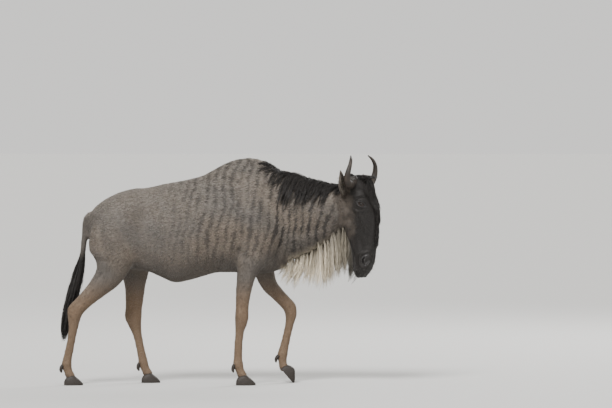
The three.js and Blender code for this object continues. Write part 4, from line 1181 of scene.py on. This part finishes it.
def growFur(mesh, region, bare):
    rng = np.random.default_rng(5)
    pieces = []
    for index, regionName in enumerate(regionNames):
        roots, normals = sampleSkin(mesh, rng, index, region, bare)
        count = len(roots)
        local = localOf(roots)
        labels, along, around = sortPlaces(local)
        labels[:] = index
        way = lieField(local, normals, labels)
        way = unit(way + np.cross(way, normals) * rng.normal(0, coat["stray"], (count, 1)))
        length, width = hairSize(local, index)
        size = length * rng.uniform(0.75, 1.25, count)
        wide = width * rng.uniform(0.75, 1.25, count)
        rings = 2 if index <= 1 else 1
        stands = size * coat["stand"] * rng.uniform(0.5, 1.2, count)
        paths = np.zeros((count, rings + 1, 3))
        for k, t in enumerate(np.linspace(0, 1, rings + 1)):
            lift = coat["root"] + (stands - coat["root"]) * (t**0.8 if rings > 1 else t)
            paths[:, k] = roots + (way * (size * t)[:, None] + normals * lift[:, None]) * mm
        colour = coatColour(local, normals, labels) * rng.uniform(0.86, 1.14, (count, 1))
        colour = np.clip(colour * (1 + rng.normal(0, 0.03, (count, 3))), 0, 1)
        uvs = patchPlace(along, around)
        profile = [0.75, 1.0] if rings == 2 else [1.0]
        most = coat["mostTwoRings" if rings == 2 else "mostOneRing"]
        for part in range(0, count, most):
            cut = slice(part, part + most)
            name = f"fur_{regionName}_{part // most + 1}"
            pieces.append(makeStrands(
                name, paths[cut], normals[cut], wide[cut], colour[cut], uvs[cut], profile
            ))
    return pieces


# Long hair grows in locks: every strand of a lock starts apart and draws in towards the tip. The look
# gives the strands in a lock, how far apart they start, their width, how far they draw together, how
# uneven and wavy they are, and the points along each.
def locks(name, look, guides, ups, colour, rng, fade=(0.82, 1.08)):
    strands, spread, width, draw, ragged, wave, points = look
    guides = np.asarray(guides, float)
    count, given, _ = guides.shape
    steps = np.linspace(0, 1, points)
    at = steps * (given - 1)
    low = np.minimum(at.astype(int), given - 2)
    before, after = np.maximum(low - 1, 0), np.minimum(low + 2, given - 1)
    share = (at - low)[None, :, None]
    curve = curveAt(guides[:, before], guides[:, low], guides[:, low + 1], guides[:, after], share)
    total = count * strands
    paths = np.repeat(curve, strands, axis=0)
    across = rng.normal(size=(total, 3))
    across = across / np.linalg.norm(across, axis=1, keepdims=True) * rng.random((total, 1)) ** 0.5 * spread
    fold = 1 - draw * steps**1.2
    paths = paths + across[:, None, :] * fold[None, :, None]
    swing = rng.normal(size=(total, 3)) * wave
    phase = rng.uniform(0, 6.28, (total, 1))
    turns = rng.uniform(0.6, 1.6, (total, 1))
    sway = np.sin(phase + turns * steps[None] * 6.28) * steps[None]
    paths = paths + swing[:, None, :] * sway[:, :, None]
    cut = 1 - ragged * rng.random((total, 1, 1)) ** 1.5
    paths = paths[:, :1] + (paths - paths[:, :1]) * cut
    tone = rng.uniform(0.65, 1.4, (total, 1)) * np.repeat(rng.uniform(0.8, 1.2, (count, 1)), strands, 0)
    colours = np.clip(np.repeat(np.atleast_2d(colour) * np.ones((count, 1)), strands, 0) * tone, 0, 1)
    ups = np.repeat(np.asarray(ups, float), strands, axis=0)
    ups = unit(ups + rng.normal(0, 0.35, (total, 3)))
    wide = width * rng.uniform(0.7, 1.3, total)
    region, along, around = sortPlaces(paths[:, 0])
    profile = np.interp(steps[:-1], [0, 0.25, 0.7, 1], [0.8, 1.0, 0.8, 0.4])
    uvs = patchPlace(along, around)
    return makeStrands(name, toWorld(paths), ups, wide, colours, uvs, profile, 0.45, fade)


def neckPoint(x, angle, side, lift):
    _, y, turn, top, mid, low, half, up, down = rowAt(neck, 0, x)
    t = math.radians(turn)
    c, s = math.cos(math.radians(angle)), math.sin(math.radians(angle))
    power = up if s > 0 else down
    height = top - mid if s > 0 else mid - low
    out = math.copysign(abs(c) ** power, c) * half + c * lift
    rise = math.copysign(abs(s) ** power * height, s) + s * lift
    return np.array([x + math.sin(t) * out * side, y + math.cos(t) * out * side, mid + rise])


# Pushes places that are inside the skin, or too near it, out to a small height above it.
def clearOf(tree, guides, least):
    for guide, low in zip(guides, least):
        for k in range(1, len(guide)):
            place = Vector(toWorld(guide[k]))
            spot, normal, index, distance = tree.find_nearest(place)
            away = (np.array(place - spot) @ np.array(normal)) / mm
            if away < low:
                guide[k] = guide[k] + np.array(normal) * (low - away)
    return guides


# The top of the skin over a place, a little sunk.
def rootUnder(tree, place, sunk=3):
    spot, normal, index, distance = tree.ray_cast(Vector(toWorld(place)), Vector((0, 0, -1)))
    return localOf(np.array(spot)) - upward * sunk


mane = {
    "locks": 190, "from": 250, "to": 700, "drift": -52, "look": (18, 9, 1.9, 0.6, 0.35, 4, 6),
    "lie": ((0, -3), (0.22, 7), (0.48, 9), (0.76, 8), (1, 5)),
    "curls": 7, "curl": ((0, 0), (-34, 16), (-70, 23), (-104, 24), (-128, 12)), "curlsFrom": (430, 480),
}
crest = {"locks": 130, "from": 225, "to": 716, "look": (16, 10, 1.3, 0.35, 0.4, 2, 5)}


def growMane(tree):
    rng = np.random.default_rng(21)
    guides, ups = [], []
    for i in range(mane["locks"]):
        x = rng.uniform(mane["from"], mane["to"])
        side = 1 if i % 2 else -1
        first = 90 + rng.uniform(-14, 12)
        long = smoothstep(mane["from"] - 40, mane["from"] + 120, x) * (0.75 + 0.25 * smoothstep(720, 600, x))
        last = 90 - (90 - rng.uniform(8, 46)) * float(long)
        drift = mane["drift"] * rng.uniform(0.6, 1.5)
        layer = rng.uniform(0, 8)
        guides.append(np.array([
            neckPoint(x + drift * t**1.3, first + (last - first) * t, side, lift + layer * t)
            for t, lift in mane["lie"]
        ]))
        ups.append((0, side * 0.7, 0.7))
    guides = clearOf(tree, guides, rng.uniform(2, 8, len(guides)))
    for i in range(mane["curls"]):
        root = neckPoint(rng.uniform(*mane["curlsFrom"]), 90 + rng.uniform(-8, 8), 1, -3)
        back, tall = rng.uniform(0.75, 1.1), rng.uniform(0.7, 1.15)
        guides.append(root + np.array([
            (x * back, i * 1.5 - 6, z * tall - x * back * 0.13) for x, z in mane["curl"]
        ]))
        ups.append((0, 1, 0))
    return [locks("mane", mane["look"], guides, ups, tones["black"], rng), growCrest(tree, rng)]


def growCrest(tree, rng):
    guides, ups = [], []
    for i in range(crest["locks"]):
        x = rng.uniform(crest["from"], crest["to"])
        y = neckPoint(max(x, 240), 90 + rng.uniform(-9, 9), 1, 30)[1]
        root = rootUnder(tree, [x, y, 1400])
        heightHere = 16 * float(smoothstep(225, 345, x)) * (1 - 0.45 * float(smoothstep(480, 680, x)))
        tall = 3 + heightHere + rng.uniform(-1, 4)
        lean = -tall * rng.uniform(1.0, 2.2)
        sway = rng.uniform(-8, 8)
        steps = ((0, 0, 0), (0.25, 0.3, 0.62), (0.62, 0.7, 1), (1, 1, 0.92))
        guides.append(root + np.array([(lean * a, sway * b, tall * c) for a, b, c in steps]))
        ups.append((0, 1, 0.2))
    return locks("crest", crest["look"], guides, ups, tones["black"], rng)


beard = {
    "locks": 150, "look": (17, 6, 1.35, 0.72, 0.5, 11, 6), "fade": (0.2, 0.6, 0.95, 1.02, 1.05),
    # place along the body, height of the tips, and how far they swing forwards
    "tips": [
        (334, 545, -30), (372, 505, -45), (430, 488, -40), (490, 494, -18), (552, 474, 0), (600, 528, 6),
        (660, 578, 8),
    ],
}
# height of the root, length and swing forwards of the hair of the jaw
chin = {
    "locksEach": 6, "look": (16, 6, 1.1, 0.6, 0.45, 3, 7),
    "rows": [
        (880, 170, -16), (850, 180, -12), (810, 180, -10), (770, 170, -6), (730, 165, -10),
        (700, 150, -14), (675, 128, -20),
    ],
}


def hangingGuide(root, length, swing, aside, rng):
    curl = rng.uniform(-12, 20)
    steps = (0, 0.12, 0.35, 0.62, 0.85, 1)
    out = [(swing * t**2 + curl * math.sin(t * 3.4), aside * t**0.8, -length * t) for t in steps]
    return root + np.array(out)


def growBeard():
    rng = np.random.default_rng(33)
    cream = np.array(tones["cream"])
    xs, heights, swings = zip(*beard["tips"])
    guides, colours = [], []
    for i in range(beard["locks"]):
        x = 668 - 338 * rng.uniform(0, 1) ** 1.45
        root = neckPoint(x, -90 + float(np.clip(rng.normal(0, 12), -27, 27)), 1, -5)
        tip = np.interp(x, xs, heights) + abs(rng.normal(0, 34 + 26 * smoothstep(560, 420, x)))
        swing = np.interp(x, xs, swings) + rng.uniform(-14, 14)
        aside = (root[1] - neckPoint(x, -90, 1, 0)[1]) * 0.25
        guides.append(hangingGuide(root, max(root[2] - tip, 40), swing, aside, rng))
        colours.append(cream * (1 - 0.55 * float(smoothstep(560, 660, x))))
    ups = [(0.2, 1, 0)] * len(guides)
    long = locks("beard", beard["look"], guides, ups, np.array(colours), rng, beard["fade"])
    guides, colours = [], []
    for z, length, swing in chin["rows"]:
        for side in (-1, 1):
            for i in range(chin["locksEach"]):
                up = z + rng.uniform(-22, 22)
                root = headPoint(rng.uniform(2, 24) * side, rowAt(head, 0, up)[3] + 4, up)
                guides.append(hangingGuide(
                    root, length * rng.uniform(0.55, 1.04), swing - 6, side * rng.uniform(0, 8), rng
                ))
                colours.append(cream * (0.5 - 0.42 * float(smoothstep(860, 700, up))))
    ups = [(0.2, 1, 0)] * len(guides)
    return [long, locks("chin_hair", chin["look"], guides, ups, np.array(colours), rng)]


brush = {
    "locks": 150, "look": (20, 6, 1.15, 0.5, 0.4, 2.5, 5),
    "lie": ((0, -3), (0.25, 4), (0.5, 7), (0.78, 7), (1, 4)),
    # half its width and the length of its hair, by height
    "widths": [(730, 13), (800, 17), (890, 20), (950, 26), (1010, 44), (1060, 56), (1092, 50)],
    "lengths": [(730, 26), (880, 44), (1000, 74), (1090, 84)],
}
poll = {"locks": 90, "look": (14, 6, 1.15, 0.4, 0.4, 1.5, 5), "lie": ((0, 0), (0.3, 5), (0.68, 5), (1, 0))}


def growFaceHair(tree):
    rng = np.random.default_rng(44)
    guides = []
    for i in range(brush["locks"]):
        z = 730 + 362 * rng.random() ** 0.62
        half = np.interp(z, *zip(*brush["widths"]))
        out = rng.uniform(-half, half)
        length = np.interp(z, *zip(*brush["lengths"])) * rng.uniform(0.7, 1.1)
        guide = []
        for t, lift in brush["lie"]:
            down = z - length * t
            bow = rowAt(head, 0, min(down, 1100))[1] - (abs(out) / 80) ** 2.4 * 40
            guide.append(headPoint(out * (1 + 0.12 * t), bow + lift * (0.5 if z < 880 else 1), down))
        guides.append(np.array(guide))
    guides = clearOf(tree, guides, rng.uniform(1.5, 6, len(guides)))
    face = locks("face_hair", brush["look"], guides, [forward] * len(guides), tones["black"], rng)
    guides = []
    for i in range(poll["locks"]):
        out, ahead = rng.uniform(-52, 52), rng.uniform(-72, 44)
        root = rootUnder(tree, headPoint(out, ahead, 1400))
        length = rng.uniform(36, 68)
        way = unit(forward * (0.9 if ahead > -30 else -0.7) + leftward * out / 90)
        guides.append(np.array([
            root + way * length * t + upward * (lift + 2) * (t > 0) for t, lift in poll["lie"]
        ]))
    guides = clearOf(tree, guides, rng.uniform(2, 7, len(guides)))
    return [face, locks("poll_hair", poll["look"], guides, [upward] * len(guides), tones["black"], rng)]


# x, z, half depth, half width of the tail's tuft
tuftForm = [
    (-726, 720, 10, 10), (-730, 690, 12, 12), (-744, 640, 24, 24), (-760, 580, 32, 32), (-782, 500, 36, 38),
    (-806, 410, 36, 40), (-822, 320, 30, 32), (-828, 250, 18, 20), (-830, 218, 6, 6),
]
switch = {"locks": 130, "look": (26, 5, 1.7, 0.6, 0.2, 5, 6), "top": 745, "tip": 218, "bow": 9}


def growTail():
    rng = np.random.default_rng(55)
    form, tip = np.array(tuftForm)[::-1], switch["tip"]
    guides, ups = [], []
    for i in range(switch["locks"]):
        start = switch["top"] - 300 * rng.random() ** 0.8
        end = max(tip, start - rng.uniform(170, 330)) + rng.uniform(0, 16)
        if i % 3 == 0:
            end = tip + rng.random() ** 2 * 90
        turn = rng.uniform(0, 2 * math.pi)
        reach = rng.uniform(0.45, 0.97)
        guide = []
        for t in (0, 0.15, 0.4, 0.7, 1):
            z = start + (end - start) * t
            if t == 0:
                x, deep, wide = columns(tail, 1, [0], z)[0], 4, 4
            else:
                x, deep, wide = (np.interp(z, form[:, 1], form[:, k]) for k in (0, 2, 3))
            ease = reach * (0.5 + 0.5 * min(1, t * 3))
            x += switch["bow"] * math.sin(math.pi * min(1, max(0, (z - tip) / 500)))
            guide.append((x + math.cos(turn) * deep * ease, math.sin(turn) * wide * ease, z))
        guides.append(guide)
        ups.append((math.cos(turn), math.sin(turn), 0))
    return [locks("tail_switch", switch["look"], guides, ups, tones["black"], rng)]


# The fine hair of the head: how many locks of each, and their look.
fineHair = {
    "ear_hair": (90, (12, 3.5, 0.7, 0.2, 0.4, 1.5, 4)), "ear_base": (44, (12, 4, 0.9, 0.3, 0.4, 1, 4)),
    "lashes": (46, (3, 0.6, 0.55, 0.1, 0.3, 0.4, 4)), "bristles": (110, (1, 0.2, 0.5, 0, 0.2, 0.6, 5)),
}


def growFineHair():
    rng = np.random.default_rng(66)
    pieces = []
    for side in (-1, 1):
        root, along, openWay, wide = earFrame(side)
        look, across, rise = eyeFrame(side)

        def insideEar():
            share = rng.uniform(0.08, 0.8)
            half, cup = columns(ear, 0, [1, 3], share)
            edge = rng.choice([-1, 1])
            reach = rng.uniform(0.35, 0.97)
            start = root + along * share * ears["length"] + wide * edge * reach * half
            start = start - openWay * cup * (1 - reach**2)
            way = unit(along * 0.9 - wide * edge * rng.uniform(0.1, 0.8) + openWay * rng.uniform(0.1, 0.5))
            length = rng.uniform(14, 30)
            return [start + way * length * t - openWay * 3 * t * t for t in (0, 0.35, 0.7, 1)], openWay

        def roundEar():
            turn, share = rng.uniform(0, 2 * math.pi), rng.uniform(-0.09, 0.08)
            ring = wide * math.cos(turn) * 17 + openWay * (math.sin(turn) * 9 - 5)
            start = root + along * share * ears["length"] + ring * 0.8
            way = unit(along + ring * 0.012)
            length = rng.uniform(18, 34)
            steps = (0, 0.35, 0.7, 1)
            return [start + way * length * t + ring * 0.22 * math.sin(t * 3.1) for t in steps], unit(ring)

        def onLid():
            u = rng.uniform(-0.8, 0.85)
            arch = (1 - abs(u) ** 1.7) ** (1 / 1.9)
            spot = across * u * lids["half"] + rise * arch * lids["open"] * 1.08
            start = eyeCentre(side) + unit(spot + look * math.sqrt(max(24.5**2 - spot @ spot, 1))) * 24.2
            length = rng.uniform(9, 16)
            outward = unit(look * 1.0 - rise * 0.35 + across * u * 0.5)
            lashCurve = [start + outward * length * t + rise * (t * t * 6 - t * 2) for t in (0, 0.4, 0.75, 1)]
            return lashCurve, across

        def onMuzzle():
            angle, z = rng.uniform(-60, 70), rng.uniform(572, 700)
            start = skinPoint(angle, z, side, -3)
            outward = unit(skinPoint(angle, z, side, 10) - start)
            length = rng.uniform(8, 30)
            steps = (0, 0.3, 0.65, 1)
            return [start + outward * length * t + upward * (-length * 0.35 * t * t) for t in steps], upward

        places = {"ear_hair": insideEar, "ear_base": roundEar, "lashes": onLid, "bristles": onMuzzle}
        shades = {"ear_hair": "pale", "ear_base": "cheek", "lashes": "bare", "bristles": "slate"}
        for name, grow in places.items():
            count, hairLook = fineHair[name]
            guides, ups = zip(*[grow() for i in range(count)])
            pieces.append(locks(f"{name}_{sideWord[side]}", hairLook, guides, ups, tones[shades[name]], rng))
    return pieces


# Adds a shader node: its inputs are constants or the outputs of other nodes, its settings are words.
def addNode(tree, kind, inputs, **settings):
    node = tree.nodes.new("ShaderNode" + kind)
    for key, value in settings.items():
        setattr(node, key, value)
    connect(tree, node, inputs)
    return node


def connect(tree, node, inputs):
    for key, value in inputs.items():
        if isinstance(value, bpy.types.NodeSocket):
            tree.links.new(value, node.inputs[key])
        else:
            node.inputs[key].default_value = value


def newMaterial(name):
    material = bpy.data.materials.new(name)
    material.use_nodes = True
    return material, material.node_tree, material.node_tree.nodes["Principled BSDF"]


def objectPlace(tree, scale):
    place = addNode(tree, "TexCoord", {}).outputs["Object"]
    return addNode(tree, "Mapping", {"Vector": place, "Scale": scale}).outputs["Vector"]


def noise(tree, where, scale, detail, rough=0.55):
    inputs = {"Vector": where, "Scale": scale, "Detail": detail, "Roughness": rough}
    return addNode(tree, "TexNoise", inputs).outputs["Fac"]


def spanOf(tree, value, low, high):
    return addNode(tree, "MapRange", {"Value": value, "To Min": low, "To Max": high}).outputs["Result"]


def attribute(tree, name, output):
    return addNode(tree, "Attribute", {}, attribute_name=name).outputs[output]


def multiplied(tree, colour, value):
    inputs = {"Factor": 1.0, "A": colour, "B": value}
    return addNode(tree, "Mix", inputs, data_type="RGBA", blend_type="MULTIPLY").outputs["Result"]


def bumped(tree, height, distance, strength):
    inputs = {"Height": height, "Distance": distance, "Strength": strength}
    return addNode(tree, "Bump", inputs).outputs["Normal"]


def mathNode(tree, operation, first, second):
    node = addNode(tree, "Math", {}, operation=operation)
    connect(tree, node, {0: first, 1: second})
    return node.outputs["Value"]


def ramp(tree, value, stops):
    node = addNode(tree, "ValToRGB", {"Fac": value})
    for element, (position, colour) in zip(node.color_ramp.elements, stops):
        element.position = position
        element.color = (*colour, 1)
    return node.outputs["Color"]


# Roughness, sheen and grain of the hide and of each kind of hair.
coatLooks = {
    "hideSkin": {"rough": 0.62, "sheen": 0.05, "grain": (1, 1, 1)},
    "furCoat": {"rough": 0.55, "sheen": 0.12, "grain": (1, 1, 1)},
    "darkHair": {"rough": 0.42, "sheen": 0.05, "grain": (1, 1, 0.3)},
    "paleHair": {"rough": 0.5, "sheen": 0.15, "grain": (1, 1, 0.3)},
}


def coatMaterial(name):
    look = coatLooks[name]
    material, tree, shader = newMaterial(name)
    streak = spanOf(tree, noise(tree, objectPlace(tree, look["grain"]), 90, 3), 0.7, 1.3)
    connect(tree, shader, {
        "Base Color": multiplied(tree, attribute(tree, "coatColour", "Color"), streak),
        "Roughness": look["rough"], "Specular IOR Level": 0.22,
        "Sheen Weight": look["sheen"], "Sheen Roughness": 0.4,
    })
    if name == "hideSkin":
        fine = noise(tree, objectPlace(tree, (1, 2.5, 2.5)), 340, 4, 0.6)
        wet = spanOf(tree, attribute(tree, "bare", "Fac"), look["rough"], 0.33)
        connect(tree, shader, {"Normal": bumped(tree, fine, 0.0009, 0.8), "Roughness": wet})
    return material


# Horn and hoof: one noise blends two dark shades, a second sets the roughness, a third the fine bumps.
sheathLooks = {
    "hornSheath": {
        "grain": (1, 1, 0.35), "dark": (0.35, (0.009, 0.0075, 0.0065)),
        "light": (0.75, (0.045, 0.034, 0.026)),
        "spots": (55, 6, 0.6), "rough": (130, 4), "span": (0.4, 0.7), "gloss": 0.3, "fine": (420, 5),
        "bump": (0.0007, 0.7),
    },
    "hoofHorn": {
        "grain": (1, 1, 3), "dark": (0, (0.008, 0.007, 0.0065)), "light": (1, (0.04, 0.032, 0.026)),
        "spots": (70, 5, 0.65), "rough": (160, 3), "span": (0.45, 0.75), "gloss": 0.25, "fine": (500, 4),
        "bump": (0.0005, 0.6),
    },
}


def sheathMaterial(name):
    look = sheathLooks[name]
    material, tree, shader = newMaterial(name)
    where = objectPlace(tree, look["grain"])
    connect(tree, shader, {
        "Base Color": ramp(tree, noise(tree, where, *look["spots"]), (look["dark"], look["light"])),
        "Roughness": spanOf(tree, noise(tree, where, *look["rough"]), *look["span"]),
        "Specular IOR Level": look["gloss"],
        "Normal": bumped(tree, noise(tree, where, *look["fine"]), *look["bump"]),
    })
    return material


# A wide dark pupil in a brown iris, by the eye's own map of where it looks.
irisLook = {
    "pupil": (0.36, 0.17), "power": 2.6, "scale": 0.33,
    "stops": ((0.3, (0.001, 0.001, 0.0012)), (0.42, (0.016, 0.007, 0.0035))),
}


def eyeMaterial():
    material, tree, shader = newMaterial("eyeGlass")
    gaze = addNode(tree, "SeparateXYZ", {"Vector": attribute(tree, "gaze", "Vector")}).outputs

    # how far a point lies from the middle of the pupil on one axis, raised to square its corners
    def away(axis, half):
        share = mathNode(tree, "DIVIDE", mathNode(tree, "ABSOLUTE", gaze[axis], 0), half)
        return mathNode(tree, "POWER", share, irisLook["power"])

    wide, tall = (away(axis, half) for axis, half in zip("XY", irisLook["pupil"]))
    inPupil = mathNode(tree, "MULTIPLY", mathNode(tree, "ADD", wide, tall), irisLook["scale"])
    fibre = spanOf(tree, noise(tree, objectPlace(tree, (1, 1, 1)), 900, 3), 0.6, 1.3)
    colour = multiplied(tree, ramp(tree, inPupil, irisLook["stops"]), fibre)
    connect(tree, shader, {"Base Color": colour, "Roughness": 0.07, "Specular IOR Level": 0.4})
    return material


def floorMaterial():
    material, tree, shader = newMaterial("studioFloor")
    connect(tree, shader, {"Base Color": (0.485, 0.48, 0.465, 1), "Roughness": 0.85})
    return material


hideSkin, furCoat, darkHair, paleHair = (coatMaterial(name) for name in coatLooks)
hornSheath, hoofHorn = (sheathMaterial(name) for name in sheathLooks)
eyeGlass = eyeMaterial()

# The ears join the skin once its fine shape is made.
whole = bmesh.new()
whole.from_mesh(skin.data)
for side in (-1, 1):
    addPart(whole, earLoft(side))
whole.to_mesh(skin.data)
whole.free()
smoothAll(skin.data)

places, normals = coordinates(skin.data), normalsOf(skin.data)
local = localOf(places)
region = sortPlaces(local)[0]
bare = bareness(local)
# Where hair grows, the skin is darkened to 0.7 of its colour as painted shade under the coat; bare skin keeps
# its own dark tone.
paint = mixed(coatColour(local, normals, region), "bare", bare) * (0.7 + 0.3 * bare[:, None])
paint = np.concatenate([paint, np.ones((len(paint), 1))], 1)
putAttribute(skin.data, "coatColour", "FLOAT_COLOR", "color", paint)
putAttribute(skin.data, "bare", "FLOAT", "value", bare)
bodyNodes = ["torso", "neck", "head", "tail", "ear_right", "ear_left"]
bodyNodes += ["foreleg_right", "foreleg_left", "hindleg_right", "hindleg_left"]
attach(skin, "root")
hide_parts(*bodyNodes)
dress(skin, hideSkin)
print("skin painted")

for side in (-1, 1):
    makeHorn(side)
    makeEye(side)
for legName in feet:
    for twin in (-1, 1):
        makeClaw(legName, twin)
        makeDewclaw(legName, twin)
print("horns, eyes and hooves made")


# Gives pieces of hair their material, and reports them.
def dressHair(stage, groups):
    for pieces, material, slot in groups:
        for piece in pieces:
            dress(piece, material)
    grown = [piece for pieces, material, slot in groups for piece in pieces]
    print(stage, len(grown), "pieces", sum(len(trianglesOf(piece.data)) for piece in grown), "triangles")


fur = growFur(skin.data, region, bare)
faceFur = [piece for piece in fur if "head" in piece.name]
bodyFur = [piece for piece in fur if "head" not in piece.name]
dressHair("fur grown:", [(faceFur, furCoat, "face_hide"), (bodyFur, furCoat, "hide")])

tree = BVHTree.FromPolygons([Vector(p) for p in places], [tuple(t) for t in trianglesOf(skin.data)])
bodyHair = growMane(tree) + growTail()
beardHair = growBeard()
faceHair = growFaceHair(tree) + growFineHair()
dressHair("long hair grown:", [
    (bodyHair, darkHair, "hide"), (beardHair, paleHair, "hide"), (faceHair, darkHair, "face_hide"),
])

# The camera stands far off at the animal's right side, as in the photo.
view = {
    "x": 455.8, "z": 954, "frameWide": 3.2436, "away": 20.0, "elevation": 1.2, "sensor": 36.0,
    "clip": 500,
}
studio = {
    "floorReach": 160, "floorGap": 0.0002, "world": (0.86, 0.85, 0.83), "worldStrength": 1.15,
    "aim": (0, 0, 0.7),
}
# kind, place, energy, then a sun's angle in degrees or an area's size
lamps = {
    "sun": ("SUN", (-2.5, -6, 7), 5.0, 20), "rim": ("AREA", (3.5, 5, 4.5), 300, 3),
    "fill": ("AREA", (5, -6, 2.5), 160, 4),
}


def aimAt(holder, place, target):
    holder.location = place
    holder.rotation_euler = (Vector(target) - Vector(place)).to_track_quat("-Z", "Y").to_euler()


def makeCamera():
    camera = bpy.data.cameras.new("camera")
    camera.sensor_width = view["sensor"]
    camera.lens = view["sensor"] * view["away"] / view["frameWide"]
    camera.clip_end = view["clip"]
    holder = newObject("camera", camera)
    target = Vector(toWorld((view["x"], 0, view["z"])))
    slope = math.radians(view["elevation"])
    aimAt(holder, target + Vector((0, -math.cos(slope), math.sin(slope))) * view["away"], target)
    bpy.context.scene.camera = holder


def makeStudio():
    bm = bmesh.new()
    bmesh.ops.create_grid(bm, x_segments=1, y_segments=1, size=studio["floorReach"])
    bmesh.ops.translate(bm, verts=bm.verts, vec=(0, 0, cadBox[0][2] - studio["floorGap"]))
    floor = newObject("studio_floor", toMesh(bm, "studioFloor"))
    dress(floor, floorMaterial())
    world = bpy.data.worlds.new("studio")
    world.use_nodes = True
    sky = world.node_tree.nodes["Background"]
    sky.inputs["Color"].default_value = (*studio["world"], 1)
    sky.inputs["Strength"].default_value = studio["worldStrength"]
    bpy.context.scene.world = world
    for name, (kind, place, energy, size) in lamps.items():
        lamp = bpy.data.lights.new(name, kind)
        lamp.energy = energy
        if kind == "SUN":
            lamp.angle = math.radians(size)
        else:
            lamp.size = size
        aimAt(newObject(name, lamp), place, studio["aim"])


makeCamera()
makeStudio()
print("studio set")
